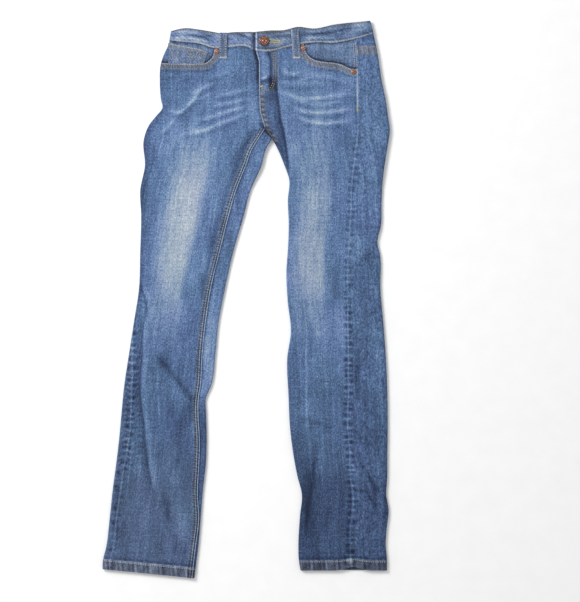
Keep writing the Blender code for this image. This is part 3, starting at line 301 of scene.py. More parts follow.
# Profiles of the metal, as shares of its radius and height, from the foot to the middle of the top.
BUTTON_PROFILE = (
    (0.45, 0.0), (0.5, 0.25), (0.93, 0.34), (0.985, 0.42), (1.0, 0.55), (0.99, 0.7), (0.94, 0.86),
    (0.88, 0.94), (0.82, 0.95), (0.77, 0.88), (0.74, 0.76), (0.66, 0.74), (0.62, 0.8), (0.55, 0.82),
    (0.42, 0.8), (0.38, 0.74), (0.3, 0.76), (0.2, 0.9), (0.1, 0.98), (0.03, 1.0),
)
RIVET_PROFILE = (
    (0.9, 0.0), (0.97, 0.15), (1.0, 0.35), (0.97, 0.55), (0.88, 0.72), (0.75, 0.78), (0.55, 0.72),
    (0.42, 0.72), (0.36, 0.86), (0.25, 0.97), (0.1, 1.0),
)
RIVETS = (("right_inner", -50, 425.0), ("left_inner", 98.8, 431.0), ("left_outer", 184.5, 390.0))
STITCH_WIDTH, STITCH_HEIGHT, STITCH_SIDES = 0.95, 0.75, 6
# Rings of points along a stitch: (share of its length, swell, rise).
STITCH_RINGS = ((-0.5, 0.35, -0.45), (-0.42, 0.75, 0.0), (-0.2, 1.0, 0.3), (0.2, 1.0, 0.3), (0.42, 0.75, 0.0),
                (0.5, 0.35, -0.45))
LOOP_ROW = 3.9  # distance of the loops' stitches from their middle
POCKET_CENTRE_Y = 320.0
TACK_SPAN, TACK_STITCHES = (331.0, 322.6), 9  # the short bar on the left outseam
FLY_CURVE = ((50.5, 424), (51, 403), (51, 386), (49.5, 373))
FLY_TURN = ((49.5, 371), (45, 362), (38, 356.5), (30, 354.5))
BUTTONHOLE = ((40.5, 443.2), (57.0, 441.6))

# Each sheet's node, its flat size in metres and, where it isn't a rectangle, its area in square metres.
SHEETS = {
    "denim_front_right": ("front_right_leg", (0.19, 0.91), 0.132),
    "denim_front_left": ("front_left_leg", (0.23, 0.91), 0.138),
    "denim_back_right": ("back_right_leg", (0.24, 0.87), 0.164),
    "denim_back_left": ("back_left_leg", (0.24, 0.88), 0.162),
    "denim_yoke_right": ("yoke_right", (0.21, 0.07), 0.0065),
    "denim_yoke_left": ("yoke_left", (0.21, 0.07), 0.0092),
    "denim_facing_right": ("pocket_facing_right", (0.1, 0.042), 0.0034),
    "denim_facing_left": ("pocket_facing_left", (0.1, 0.055), 0.0036),
    "denim_waistband": ("waistband", (0.74, 0.034), 0.0215),
    "denim_loop_right": ("belt_loop_right", (LOOP_WIDTH * MM, 0.049), None),
    "denim_loop_left": ("belt_loop_left", (LOOP_WIDTH * MM, 0.055), None),
    "denim_loop_back_right": ("belt_loop_back_right", (LOOP_WIDTH * MM, 0.048), None),
    "denim_loop_back_middle": ("belt_loop_back_middle", (LOOP_WIDTH * MM, 0.048), None),
    "denim_loop_back_left": ("belt_loop_back_left", (LOOP_WIDTH * MM, 0.048), None),
    "denim_pocket_right": ("back_pocket_right", (0.128, 0.131), 0.0152),
    "denim_pocket_left": ("back_pocket_left", (0.128, 0.131), 0.0152),
    "denim_coin_pocket": ("coin_pocket", (0.067, 0.031), 0.002),
}

# The dye's colours from dark to white, and the grey ones of bands and worn places: (level, colour).
DYE = (
    (0.0, (22, 30, 52)), (0.2, (38, 53, 84)), (0.3, (58, 77, 110)), (0.4, (76, 100, 138)),
    (0.49, (96, 124, 167)), (0.57, (122, 146, 180)), (0.64, (145, 163, 186)), (0.72, (171, 184, 199)),
    (0.85, (207, 213, 219)), (1.0, (236, 237, 237)),
)
GREY_DYE = (
    (0.0, (32, 33, 40)), (0.2, (54, 57, 68)), (0.3, (74, 79, 92)), (0.4, (96, 102, 115)),
    (0.49, (121, 125, 134)), (0.57, (144, 147, 153)), (0.64, (162, 164, 168)), (0.72, (182, 184, 187)),
    (0.85, (212, 213, 215)), (1.0, (236, 237, 237)),
)
# Noises of the cloth: (scale across the grain, along it and from panel to panel, detail).
CLOTH_NOISES = {
    "specks": ((520.0, 330.0, 900.0), 1.0),
    "slubs": ((280.0, 22.0, 900.0), 2.0),
    "streaks": ((110.0, 5.0, 900.0), 3.0),
    "wefts": ((14.0, 300.0, 900.0), 2.0),
    "clouds": ((26.0, 14.0, 900.0), 3.0),
    "mottles": ((160.0, 110.0, 900.0), 2.0),
    "long_slubs": ((330.0, 9.0, 700.0), 0.0),
    "drift": ((11.0, 9.0, 900.0), 2.0),
}
# Shares of the noises in the dye, the fine ones fading where the cloth is grey, and in the relief.
FINE_SHARES = (("specks", 0.49), ("slubs", 0.19), ("wefts", 0.10))
BROAD_SHARES = (("streaks", 0.16), ("clouds", 0.15), ("mottles", 0.165))
HEIGHT_SHARES = (("slubs", 0.7), ("specks", 0.5), ("mottles", 0.6))
SLUB_START, SLUB_SHARE = 0.66, 0.4  # the long slubs show as bright threads above this value
CALM_SHARE = 0.4  # how much of the fine noises the grey places lose
TWILL_SCALE, TWILL_SHARE = (280.0, 200.0, 0.0), 0.35
CLOTH_BUMP, THREAD_BUMP, COPPER_BUMP = 0.0005, 0.0001, 0.00012  # metres
DRIFT_TINTS = ((0.32, (250, 255, 249)), (0.5, (251, 252, 252)), (0.68, (255, 250, 255)))
THREADS = {  # dark and light colour of each thread
    "tan": ((118, 113, 106), (164, 155, 138)),
    "pale": ((158, 162, 166), (200, 200, 194)),
    "yellow": ((160, 146, 86), (204, 188, 116)),
}
AGED_COPPER = ((60, 41, 37), (120, 81, 70), (186, 142, 122))
WORN_COPPER = ((98, 66, 58), (156, 110, 94), (208, 170, 152))

# The floor's half width, the lamp and the light of the room, in metres and watts.
FLOOR_REACH, ROOM_LIGHT = 4.0, 0.62
FLOOR_WHITES = ((0.3, (250, 250, 250)), (0.7, (253, 253, 253)))
LAMP_PLACE, LAMP_WIDTH, LAMP_POWER = (-1.5, 1.2, 1.75), 1.1, 52.0
# The picture's width and height in pixels, and the pixels of the frame's origin in it.
PICTURE = (580.0, 602.0)
PIXEL = 1.72  # millimetres of the garment for each pixel of the picture
ORIGIN_PIXEL = (246.0, 299.5)
PICTURE_MIDDLE = ((PICTURE[0] / 2 - ORIGIN_PIXEL[0]) * PIXEL, (ORIGIN_PIXEL[1] - PICTURE[1] / 2) * PIXEL)
CAMERA_HEIGHT = 2.4  # metres
SENSOR = 36.0


def smooth_step(value):
    value = np.clip(value, 0.0, 1.0)
    return value * value * (3 - 2 * value)


def bell(distance, width):
    return np.exp(-((distance / width) ** 2))


def stripes(distance, rows):
    """Soft stripes beside a line, from rows of (distance of the middle, half width, change)."""
    return sum(change * bell(distance - middle, width) for middle, width, change in rows)


def straight_line(table, place):
    """A function that runs straight between a table's rows."""
    rows = sorted((row[0], row[place]) for row in table)
    return lambda y: np.interp(y, [row[0] for row in rows], [row[1] for row in rows])


def smooth_line(table, place):
    """A function that passes smoothly through one column of a table."""
    rows = np.array(sorted((row[0], row[place]) for row in table), float)
    ys, xs = rows[:, 0], rows[:, 1]
    slopes = np.gradient(xs, ys)

    def at(y):
        y = np.clip(np.asarray(y, float), ys[0], ys[-1])
        k = np.clip(np.searchsorted(ys, y) - 1, 0, len(ys) - 2)
        h = ys[k + 1] - ys[k]
        t = (y - ys[k]) / h
        return (
            (1 + 2 * t) * (1 - t) ** 2 * xs[k] + t * (1 - t) ** 2 * h * slopes[k]
            + t * t * (3 - 2 * t) * xs[k + 1] + t * t * (t - 1) * h * slopes[k + 1]
        )

    return at


def smooth_curve(points, step):
    """Evenly spaced places on a smooth curve through points, and the curve's direction at each."""
    points = np.array(points, float)
    run = np.concatenate([[0], np.cumsum(np.hypot(*np.diff(points, axis=0).T))])
    lines = [smooth_line(list(zip(run, points[:, k])), 1) for k in range(2)]
    fine = np.linspace(0, run[-1], max(int(run[-1] * 4), 8))
    fine = np.stack([line(fine) for line in lines], axis=1)
    length = np.concatenate([[0], np.cumsum(np.hypot(*np.diff(fine, axis=0).T))])
    count = max(int(round(length[-1] / step)), 1)
    at = (np.arange(count) + 0.5) / count * length[-1]
    places = np.stack([np.interp(at, length, fine[:, k]) for k in range(2)], axis=1)
    ahead = np.stack([np.interp(at + 0.5, length, fine[:, k]) for k in range(2)], axis=1)
    behind = np.stack([np.interp(at - 0.5, length, fine[:, k]) for k in range(2)], axis=1)
    return places, ahead - behind


def near_path(x, y, path, width):
    """How near each place is to a path, from 0 to 1, fading out at both ends."""
    x, y = np.broadcast_arrays(np.asarray(x, float), np.asarray(y, float))
    near = np.zeros(x.shape)
    points = np.array(path, float)
    reach = 3 * width
    low, high = points.min(axis=0) - reach, points.max(axis=0) + reach
    here = (x > low[0]) & (x < high[0]) & (y > low[1]) & (y < high[1])
    if not here.any():
        return near
    px, py = x[here], y[here]
    lengths = np.hypot(*np.diff(points, axis=0).T)
    total, done = lengths.sum(), 0.0
    away, along = np.full(px.shape, 1e9), np.zeros(px.shape)
    for (x0, y0), (x1, y1), length in zip(points, points[1:], lengths):
        share = np.clip(((px - x0) * (x1 - x0) + (py - y0) * (y1 - y0)) / length**2, 0, 1)
        far = np.hypot(px - x0 - share * (x1 - x0), py - y0 - share * (y1 - y0))
        along = np.where(far < away, (done + share * length) / total, along)
        away = np.minimum(away, far)
        done += length
    fade = np.minimum(1.0, 0.25 + 4 * np.minimum(along, 1 - along))
    near[here] = bell(away, width) * fade
    return near


def marks(x, y, rows):
    """Soft marks along paths, from rows of (path, half width, change)."""
    return sum(change * near_path(x, y, path, width) for path, width, change in rows)


def uneven(place, pitch, seed=0.0):
    """An uneven wave along a seam, from -1 to 1, with about this pitch."""
    turn = 2 * math.pi * place / pitch
    return (
        0.5 * np.sin(turn + seed) + 0.3 * np.sin(1.37 * turn + 2 * seed + 1.0)
        + 0.2 * np.sin(0.61 * turn + 3 * seed + 2.0)
    )


def ripple(x, y, size, seed):
    """A soft unevenness of the cloth, from about -1 to 1, with hollows of about this size."""
    rng = np.random.default_rng(seed)
    total = 0.0
    for _ in range(7):
        angle = rng.uniform(0, math.pi)
        phase = rng.uniform(0, 2 * math.pi)
        pitch = size * rng.uniform(1.2, 3.2)
        across = x * math.cos(angle) + y * math.sin(angle) * 0.6
        total = total + np.sin(2 * math.pi * across / pitch + phase)
    return total / 3.0


class Fold:
    """A long fold of the cloth: its line, its height and how far it sinks, between its two ends."""

    def __init__(self, table):
        self.x, self.height, self.sink = (smooth_line(table, place) for place in (1, 2, 3))
        self.top, self.low = table[0][0], table[-1][0]


right_edge, right_outseam = smooth_line(RIGHT_SIDE, 1), smooth_line(RIGHT_SIDE, 2)
left_edge, left_outseam = smooth_line(LEFT_SIDE, 1), smooth_line(LEFT_SIDE, 2)
right_inner, right_inseam = smooth_line(RIGHT_INNER, 1), smooth_line(RIGHT_INNER, 2)
left_inner, left_inseam = smooth_line(LEFT_INNER, 1), smooth_line(LEFT_INNER, 2)
front_middle = straight_line(FRONT_MIDDLE, 1)
waist_top, waist_seam = smooth_line(WAIST, 1), smooth_line(WAIST, 2)
back_seam = straight_line(BACK_SEAM, 1)
fly_fold, shin_fold = Fold(FLY_FOLD), Fold(SHIN_FOLD)
right_fade = [smooth_line(RIGHT_FADE, place) for place in (1, 2)]
left_fade = [smooth_line(LEFT_FADE, place) for place in (1, 2)]


def base(y):
    """Height of the tube's underside over the floor."""
    return SEAT_LIFT * smooth_step((y - LIFT_START) / (LIFT_FULL - LIFT_START))


def back_middle(y):
    share = (y - GAP_Y) / (WAIST[0][1] - GAP_Y)
    return GAP_X + (BACK_MIDDLE_X - GAP_X) * smooth_step(share * 2)


def crotch_inseam(y):
    """x of the right inseam, from the crotch point down."""
    share = (y - GAP_Y) / (CROTCH_Y - GAP_Y)
    above = RIGHT_INNER[0][2] + (CROTCH_X - RIGHT_INNER[0][2]) * share
    return np.where(y > GAP_Y, above, right_inseam(np.minimum(y, GAP_Y)))


class Tube:
    """A flattened tube between two outlines, which turns a ring place and a y into a point."""

    def __init__(self, left, right, roll=ROLL, spread=0.0):
        self.left, self.right, self.roll, self.spread = left, right, roll, spread

    def edges(self, y):
        return self.left(y) - self.spread, self.right(y) + self.spread

    def half(self, y):
        a, b = self.edges(y)
        return (b - a) - 2 * self.roll + math.pi * self.roll

    def top(self, x, y):
        return math.pi * self.roll / 2 + (x - self.edges(y)[0] - self.roll)

    def under(self, x, y):
        return 2 * self.half(y) - self.top(x, y)

    def place(self, ring, y, depth=0.0):
        """x, z and how far up the cloth faces, at this depth in the wall."""
        a, b = self.edges(y)
        r, quarter, flat = self.roll, math.pi * self.roll / 2, (b - a) - 2 * self.roll
        ring = np.mod(ring, 2 * self.half(y))
        parts = [ring < quarter, ring < quarter + flat]
        parts += [ring < 3 * quarter + flat, ring < 3 * quarter + 2 * flat]
        centre = np.select(
            parts, [a + r, a + r + ring - quarter, b - r, b - r - (ring - 3 * quarter - flat)], a + r
        )
        angle = np.select(
            parts,
            [math.pi - ring / r, math.pi / 2 + 0 * ring, math.pi / 2 - (ring - quarter - flat) / r,
             -math.pi / 2 + 0 * ring],
            -math.pi / 2 - (ring - 3 * quarter - 2 * flat) / r,
        )
        x = centre + (r - depth) * np.cos(angle)
        z = r + (r - depth) * np.sin(angle) + base(y)
        return x, z, np.sin(angle)


trunk = Tube(right_edge, left_edge)
right_leg = Tube(right_edge, lambda y: right_inner(y) - HALF_GAP)
left_leg = Tube(lambda y: left_inner(y) + HALF_GAP, left_edge)
band_tube = Tube(right_edge, left_edge, BAND_ROLL, BAND_ROLL - ROLL)


def step_fold(fold, x, y):
    """Height of a fold that is raised on its right and sunk on its left."""
    across, height, sink = x - fold.x(y), fold.height(y), fold.sink(y)
    rise = smooth_step(across / STEP_LIP + 0.5) * 2 - 1
    raised = height * rise * np.exp(-np.maximum(across, 0) / STEP_TAIL)
    sunk = -sink * np.exp(-(((across + SINK_WIDTH / 2) / SINK_WIDTH) ** 2) * 2)
    sunk = sunk * np.clip(-across / STEP_LIP * 2, 0, 1)
    inside = (y < fold.top) & (y > fold.low)
    return np.where(inside, np.where(across >= 0, raised, sunk), 0.0)


def mouth_line(mouth):
    """y of a pocket's scooped edge, at an x."""
    places = smooth_curve(mouth, 0.5)[0]
    places = np.vstack([mouth[0], places, mouth[-1]])
    places = places[np.argsort(places[:, 0])]
    return lambda x: np.interp(x, places[:, 0], places[:, 1])


# Each pocket's scooped edge, the x of its inner corner and the x of its steepest place.
MOUTHS = {
    "right": (mouth_line(RIGHT_MOUTH), RIGHT_MOUTH[-1][0], -60.0),
    "left": (mouth_line(LEFT_MOUTH), LEFT_MOUTH[-1][0], 106.0),
}


def mouth_depth(x, y):
    """Distance below the nearer pocket's scooped edge, or a large value away from the pockets."""
    depth = np.full(np.broadcast(x, y).shape, FAR)
    for mouth in (RIGHT_MOUTH, LEFT_MOUTH):
        points = smooth_curve(mouth, 2.0)[0]
        low, high = points.min(axis=0) - 16, points.max(axis=0) + 16
        here = (x > low[0]) & (x < high[0]) & (y > low[1]) & (y < high[1])
        if here.any():
            far = np.hypot(x[here][:, None] - points[:, 0], y[here][:, None] - points[:, 1]).min(axis=1)
            depth[here] = np.minimum(depth[here], far)
    return depth


def ladder(distance, y, pitch, seed):
    """The puckers across a seam: how much of a rung, and how much of a hollow between two, each place is."""
    phase = y / pitch + 0.3 * np.sin(y / 23.0 + seed) + 0.2 * np.sin(y / 9.1 + 2 * seed)
    part = phase - np.floor(phase)
    rung = bell(np.minimum(part, 1 - part) * pitch, 1.5) * bell(distance, 7.0)
    side = np.where(distance > 0, 1.9, 0.0)
    strength = 0.6 + 0.4 * np.sin(np.floor(phase) * 2.4 + side + seed)
    hollow = np.sin(math.pi * part) ** 2 * strength * bell(np.abs(distance) - 4.5, 3.2)
    return rung, hollow


def left_seam_puckers(x, y):
    strength = 0.3 + 0.4 * smooth_step((300 - y) / 70) + 0.3 * smooth_step((30 - y) / 90)
    rung, hollow = ladder(x - left_outseam(y), y, 10.4, 0.4)
    return rung * strength, hollow * strength


def right_seam_puckers(x, y):
    strength = smooth_step((20 - y) / 60) * (1 - 0.6 * smooth_step((-250 - y) / 60))
    rung, hollow = ladder(x - right_edge(y) - ROLL + QUARTER - right_outseam(y), y, 10.8, 1.3)
    return rung * strength, hollow * strength


def strip_mottles(x, y):
    """Hard little wrinkles in the strip left of the shin's fold, from about -1 to 1."""
    inside = smooth_step((shin_fold.x(y) - 1 - x) / 4)
    inside = inside * smooth_step((40 - y) / 60) * smooth_step((y + 360) / 90)
    wave = 0.55 * uneven(y + 3 * np.sin(x / 4.0), 9.0, 1.0) + 0.45 * uneven(y - 2.2 * x, 12.0, 4.0)
    return inside * (wave + 0.5 * uneven(x * 2.0 + 0.6 * y, 11.0, 2.0) * uneven(y, 17.0, 3.0))


def fell_ticks(x, y):
    """The small cross puckers on the felled seam, from 0 to 1."""
    turn = 2 * math.pi * (y + 0.35 * x) / 5.8 + 1.6 * np.sin(y / 31.0) + 0.8 * np.sin(y / 7.3)
    return (0.5 + 0.5 * np.sin(turn)) ** 2 * (0.75 + 0.25 * np.sin(y / 11.7))


def seam_pucker(x, y):
    """Height of the puckers beside the seams that lie on the top."""
    height = 0.35 * strip_mottles(x, y)
    for rung, hollow in (left_seam_puckers(x, y), right_seam_puckers(x, y)):
        height = height + 0.2 * rung - 0.5 * hollow
    fell = bell(x - crotch_inseam(y) + FELL_WIDTH / 2, 4.5) * smooth_step((CROTCH_Y - y) / 10)
    return height + 0.3 * fell * (fell_ticks(x, y) - 0.4)


def lift(x, y):
    """Height of the folds, creases and raised seams over the flat top."""
    height = step_fold(fly_fold, x, y) + step_fold(shin_fold, x, y)
    height = height + marks(x, y, [(path, width, rise) for path, rise, width, _ in CREASES])
    whiskers = [(path, WHISKER_WIDTH * 1.3, WHISKER_HEIGHT * strength) for path, strength in WHISKERS]
    height = height + marks(x, y, whiskers)
    seam = crotch_inseam(y)
    on_fell = (y < CROTCH_Y) & (x < seam + 1)
    height = height + np.where(on_fell, FELL_HEIGHT * smooth_step((x - seam + FELL_WIDTH) / 2.5), 0.0)
    ridge = x - front_middle(np.maximum(y, CROTCH_Y))
    on_ridge = (y > FLY_RIDGE_END) & (ridge >= 0) & (ridge < FLY_RIDGE_WIDTH)
    crown = np.cos(np.clip(ridge / FLY_RIDGE_WIDTH, 0, 1) * math.pi / 2) ** 2
    rise = FLY_RIDGE_HEIGHT * smooth_step((y - FLY_RIDGE_END) / 25) * crown
    height = height + np.where(on_ridge, rise, 0.0)
    return height + seam_pucker(x, y) + 0.22 * ripple(x, y, 26.0, 3) + 0.12 * ripple(x, y, 11.0, 5)


def seam_pinch(x, y, seam_x):
    """How far the cloth turns in beside the seat seam, where the legs start to part."""
    inside = np.clip(ROLL - np.abs(x - seam_x), 0, ROLL)
    share = smooth_step((PINCH_START - y) / (PINCH_START - GAP_Y)) * (y >= GAP_Y)
    return share * (ROLL - np.sqrt(ROLL**2 - inside**2))


def top_z(x, y):
    """Height of the cloth's outer face on the top, anywhere on the garment."""
    x, y = np.broadcast_arrays(np.asarray(x, float), np.asarray(y, float))
    between = (right_inner(y) + left_inner(y)) / 2
    parted = y < GAP_Y
    a = np.where(parted & (x > between), left_inner(y) + HALF_GAP, right_edge(y))
    b = np.where(parted & (x < between), right_inner(y) - HALF_GAP, left_edge(y))
    inside = np.clip(ROLL - np.minimum(x - a, b - x), 0, ROLL)
    up = np.sqrt(ROLL**2 - inside**2) / ROLL
    pinch = seam_pinch(x, y, front_middle(y))
    return base(y) + ROLL + ROLL * up + lift(x, y) * up**2 - pinch


# Building of the cloth's meshes


def spaced(start, end, count, spots=()):
    """count + 1 ring places, closer together around each spot (place, half width, extra)."""
    if end - start < 1e-6:
        return np.full(count + 1, float(start))
    fine = np.linspace(start, end, 600)
    total = (fine - start) / (end - start)
    for place, half_width, extra in spots:
        total = total + extra * smooth_step((fine - place + half_width) / (2 * half_width)) / count
    total = (total - total[0]) / (total[-1] - total[0])
    return np.interp(np.linspace(0, 1, count + 1), total, fine)


def leg_y(row_y, x, middle_x, slope, hem_y, arch):
    """y along a leg's row, which tilts towards the hem's own slope."""
    share = np.clip((row_y - LEG_TILT_START) / (hem_y - LEG_TILT_START), 0, 1)
    near = smooth_step((hem_y + 2 * HEM_TOP - row_y) / (2 * HEM_TOP))
    rise = HEM_ARCH * near * bell(x - HEM_ARCH_X, HEM_ARCH_WIDTH / math.sqrt(2)) * arch
    return row_y + slope * share * (x - middle_x) + rise


def hem_lift(row_y, hem_y, place):
    """The hem's extra cloth, roped by its stitching."""
    up = row_y - hem_y
    rise = HEM_RAISE * smooth_step((HEM_TOP + 0.3 - up) / 1.6) * (0.6 + 0.4 * smooth_step(up / 1.6))
    rope = 0.24 * uneven(place + 0.4 * up, 13.0, hem_y) * smooth_step((HEM_TOP - up) / 4)
    return rise + rope


class Grid:
    """Rows of cloth: points of its two faces, their places on the cloth, dye levels with their painted shade,
    and greyness.
    """

    def __init__(self, outer, inner, cloth, level, grey):
        self.parts = (outer, inner, cloth, np.broadcast_to(level, outer.shape[:2]),
                      np.broadcast_to(grey, outer.shape[:2]))

    @staticmethod
    def joined(upper, lower):
        return Grid(*[np.concatenate(pair) for pair in zip(upper.parts, lower.parts)])


def cloth_grid(tube, ring, y, shade, lean, seams, patch, hem=0.0, sink=0.0):
    """A grid of the wall on a tube. shade gives each place's dye level with its painted shade, patch sets a
    panel's own noise.
    """
    x, z, up = tube.place(ring, y)
    inner_x, inner_z, _ = tube.place(ring, y, CLOTH)
    on_top = np.maximum(up, 0) ** 2
    rise = (lift(x, y) - sink) * on_top
    under_rise = 0.5 * np.maximum(ripple(x, y, 40.0, 11), 0) * np.maximum(-up, 0) ** 2
    pinch_top = seam_pinch(x, y, front_middle(y)) * (up > 0) * (tube is trunk)
    pinch_under = seam_pinch(x, y, back_middle(y)) * (up <= 0) * (tube is trunk)
    shift = rise + under_rise - pinch_top + pinch_under
    outer_z = np.maximum(z + shift + hem * np.maximum(up, 0), base(y) + UNDER_CLEAR)
    outer = np.stack([x, y, outer_z], axis=-1)
    thicker = hem * 0.8 * np.maximum(-up, 0)
    inner = np.stack([inner_x, y, inner_z + shift + thicker], axis=-1)
    a, _ = tube.edges(y)
    turned = np.where(ring > tube.half(y) * 1.999, ring - 2 * tube.half(y), ring)
    unrolled = a + tube.roll - math.pi * tube.roll / 2 + turned
    cloth = np.stack([unrolled - lean(y), y, np.full(x.shape, patch)], axis=-1)
    level, grey = shade(x, y, up, *(np.abs(ring - seam) for seam in seams))
    return Grid(outer, inner, cloth, level, grey)


def lean_line(side):
    """x of the grain's line: straight in the seat, following the middle of each leg below."""
    inner = right_inner if side == "right" else left_inner
    edge = right_edge if side == "right" else left_edge

    def at(y):
        low = np.minimum(y, GAP_Y)
        return (inner(low) + edge(low)) / 2

    return at


right_lean, left_lean = lean_line("right"), lean_line("left")


def cloth_mesh(name, grids, material):
    """One closed thin shell from grids, welded where their outer points meet."""
    outer, inner, cloth = (np.concatenate([grid.parts[k].reshape(-1, 3) for grid in grids]) for k in range(3))
    level, grey = (np.concatenate([grid.parts[k].reshape(-1) for grid in grids]) for k in (3, 4))
    keys = np.round(outer * 200).astype(np.int64)
    _, first, number = np.unique(keys, axis=0, return_index=True, return_inverse=True)
    number = number.reshape(-1)
    faces, start = [], 0
    for grid in grids:
        rows, wide = grid.parts[0].shape[:2]
        index = number[start:start + rows * wide].reshape(rows, wide)
        start += rows * wide
        a, b, c, d = index[:-1, :-1], index[:-1, 1:], index[1:, 1:], index[1:, :-1]
        faces.append(np.stack([a, d, c], axis=-1).reshape(-1, 3))
        faces.append(np.stack([a, c, b], axis=-1).reshape(-1, 3))
    faces = np.concatenate(faces)
    plain = (faces[:, 0] != faces[:, 1]) & (faces[:, 1] != faces[:, 2]) & (faces[:, 0] != faces[:, 2])
    faces = faces[plain]
    sides = np.concatenate([faces[:, [0, 1]], faces[:, [1, 2]], faces[:, [2, 0]]])
    count = len(first)
    codes = sides[:, 0] * count + sides[:, 1]
    rims = sides[~np.isin(codes, sides[:, 1] * count + sides[:, 0])]
    quads = np.stack([rims[:, 1], rims[:, 0], rims[:, 0] + count, rims[:, 1] + count], axis=1)
    rim = np.concatenate([quads[:, [0, 1, 2]], quads[:, [0, 2, 3]]])
    solid = np.concatenate([faces, faces[:, ::-1] + count, rim])
    points = np.concatenate([outer[first], inner[first]]) * MM
    thing = mesh_piece(name, points, solid, material)
    add_values(thing, {
        "cloth": np.concatenate([cloth[first], cloth[first]]) * MM,
        "level": np.concatenate([level[first], INSIDE_LEVEL + INSIDE_SHARE * level[first]]),
        "grey": np.concatenate([grey[first], grey[first]]),
    })
    node, flat, area = SHEETS[name]
    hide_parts(node)


def mesh_piece(name, points, faces, material, sharp=60):
    """A piece that rides on the one body. Points are in metres."""
    mesh = bpy.data.meshes.new(name)
    mesh.from_pydata(np.asarray(points).tolist(), [], np.asarray(faces).tolist())
    mesh.validate()
    mesh.shade_smooth()
    mesh.set_sharp_from_angle(angle=math.radians(sharp))
    mesh.materials.append(material)
    thing = bpy.data.objects.new(name, mesh)
    bpy.context.collection.objects.link(thing)
    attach(thing, "root")
    return thing


def add_values(thing, values):
    """Stores each point's place on the cloth, dye level with its painted shade, and greyness, for the
    material.
    """
    for name, numbers in values.items():
        kind, field = ("FLOAT_VECTOR", "vector") if numbers.ndim == 2 else ("FLOAT", "value")
        layer = thing.data.attributes.new(name, kind, "POINT")
        layer.data.foreach_set(field, np.ascontiguousarray(numbers, np.float32).reshape(-1))


# The dye: how dark or worn each place is, where shade is painted into it, and how grey


def whisker_wear(x, y):
    """Worn lines over the hips, each in a paler border, with painted shade in a hollow below it."""
    lines = [(path, WHISKER_WIDTH, WHISKER_WEAR * strength) for path, strength in WHISKERS]
    borders = [(path, 3.2 * WHISKER_WIDTH, 0.05 * strength) for path, strength in WHISKERS]
    # The darker hollows below the worn lines are painted shade.
    hollows = [
        ([(px, py - 2.9 * WHISKER_WIDTH) for px, py in path], 1.6 * WHISKER_WIDTH, -0.065 * strength)
        for path, strength in WHISKERS
    ]
    return (1.0 + 0.08 * ripple(x, y, 14.0, 21)) * marks(x, y, lines) + marks(x, y, borders + hollows)


# Along the creases: dye, and painted shade in the sunk ones; then uneven dye.
def crease_dye_and_shade(x, y):
    tone = marks(x, y, [(path, width, change) for path, _, width, change in CREASES if change])
    return tone + 0.02 * ripple(x, y, 34.0, 31) + 0.014 * ripple(x, y, 12.0, 37)


def fold_shade_and_lip(fold, x, y, dark, light):
    """Painted shade in the valley left of a fold, and lighter on its lip."""
    across = x - fold.x(y)
    ends = smooth_step((fold.top + 8 - y) / 26) * smooth_step((y - fold.low) / 40)
    valley = dark * bell(across + 1.4, 2.6) + 0.35 * dark * bell(across + 6, 6.0) * (across < 0)
    return ends * (light * bell(across - 5, 5.0) - valley)


def edge_shade(x, edge, depth, reach):
    """Painted shade where the cloth turns over an outer edge."""
    return -depth * np.exp(-np.abs(x - edge) / reach)


def ladder_tone(puckers):
    return 0.13 * puckers[0] - 0.2 * puckers[1]


def seam_edge(distance, y):
    """A worn, broken edge beside a seam."""
    return 0.15 * bell(distance, 0.9) * (0.6 + 0.5 * uneven(y, 5.0, 0.8)) - 0.05 * bell(distance - 2.8, 1.5)


def mouth_tone(x, y):
    """The stitched band below a pocket's edge: level and greyness."""
    depth = mouth_depth(x, y)
    band = smooth_step((10.8 - depth) / 1.5)
    ribs = uneven(x + 0.5 * y, 5.0, 0.7) + 0.6 * uneven(1.7 * x - y, 7.0, 2.3)
    return stripes(depth, MOUTH_STRIPES) + band * (0.08 * ribs - 0.01), 0.8 * band


def shade_and_puckers_under_waist(x, y):
    """Painted shade under the waistband's seam, with short puckers below it."""
    depth = waist_seam(x) - y
    puckers = uneven(x + 0.4 * y, 10.0, 0.9) * np.exp(-np.maximum(depth, 0) / 7)
    return 0.05 * puckers - 0.09 * bell(depth - 1.2, 1.7)


def hem_tone(up, place, seed):
    """A roped hem: level and greyness, by the height over its edge."""
    band = smooth_step((HEM_TOP - up) / 1.2)
    ribs = 0.75 * uneven(place + 0.1 * up, 8.6, seed) + 0.55 * uneven(place - 0.5 * up, 27.0, seed + 1)
    level = band * (0.17 * ribs * (0.6 + 0.4 * smooth_step(up / 5)) - 0.01)
    return level + stripes(up, HEM_STRIPES), 0.7 * band


def hem_opening_shade(x, y):
    """Painted shade: the dark mouth that shows under the arch of the left hem."""
    low = LEFT_HEM_Y + HEM_ARCH * bell(x - HEM_ARCH_X, HEM_ARCH_WIDTH / math.sqrt(2))
    return -1.1 * bell(y - low - 1.0, 5.5) * bell(x - HEM_ARCH_X, 15.0)


right_level, left_level = smooth_line(RIGHT_LEVELS, 1), smooth_line(LEFT_LEVELS, 1)
left_back_level, flap_level = smooth_line(LEFT_BACK_LEVELS, 1), smooth_line(FLAP_LEVELS, 1)
right_strip_level, under_level = smooth_line(RIGHT_STRIP_LEVELS, 1), smooth_line(UNDER_LEVELS, 1)


def blend_under(level, grey, y, up):
    """The underside's own level, reached round the rolled edge."""
    share = smooth_step(up + 0.5)
    return level * share + under_level(y) * (1 - share), grey * share


def thigh_wear(fade, x, y, reach, ramp):
    """The faded thigh, from its middle out to both sides, which each have their own reach and ramp."""
    across = x - fade[0](y)
    low_side = smooth_step((reach[0] + across) / ramp[0])
    high_side = smooth_step((reach[1] - across) / ramp[1])
    return fade[1](y) * np.where(across > 0, high_side, low_side)


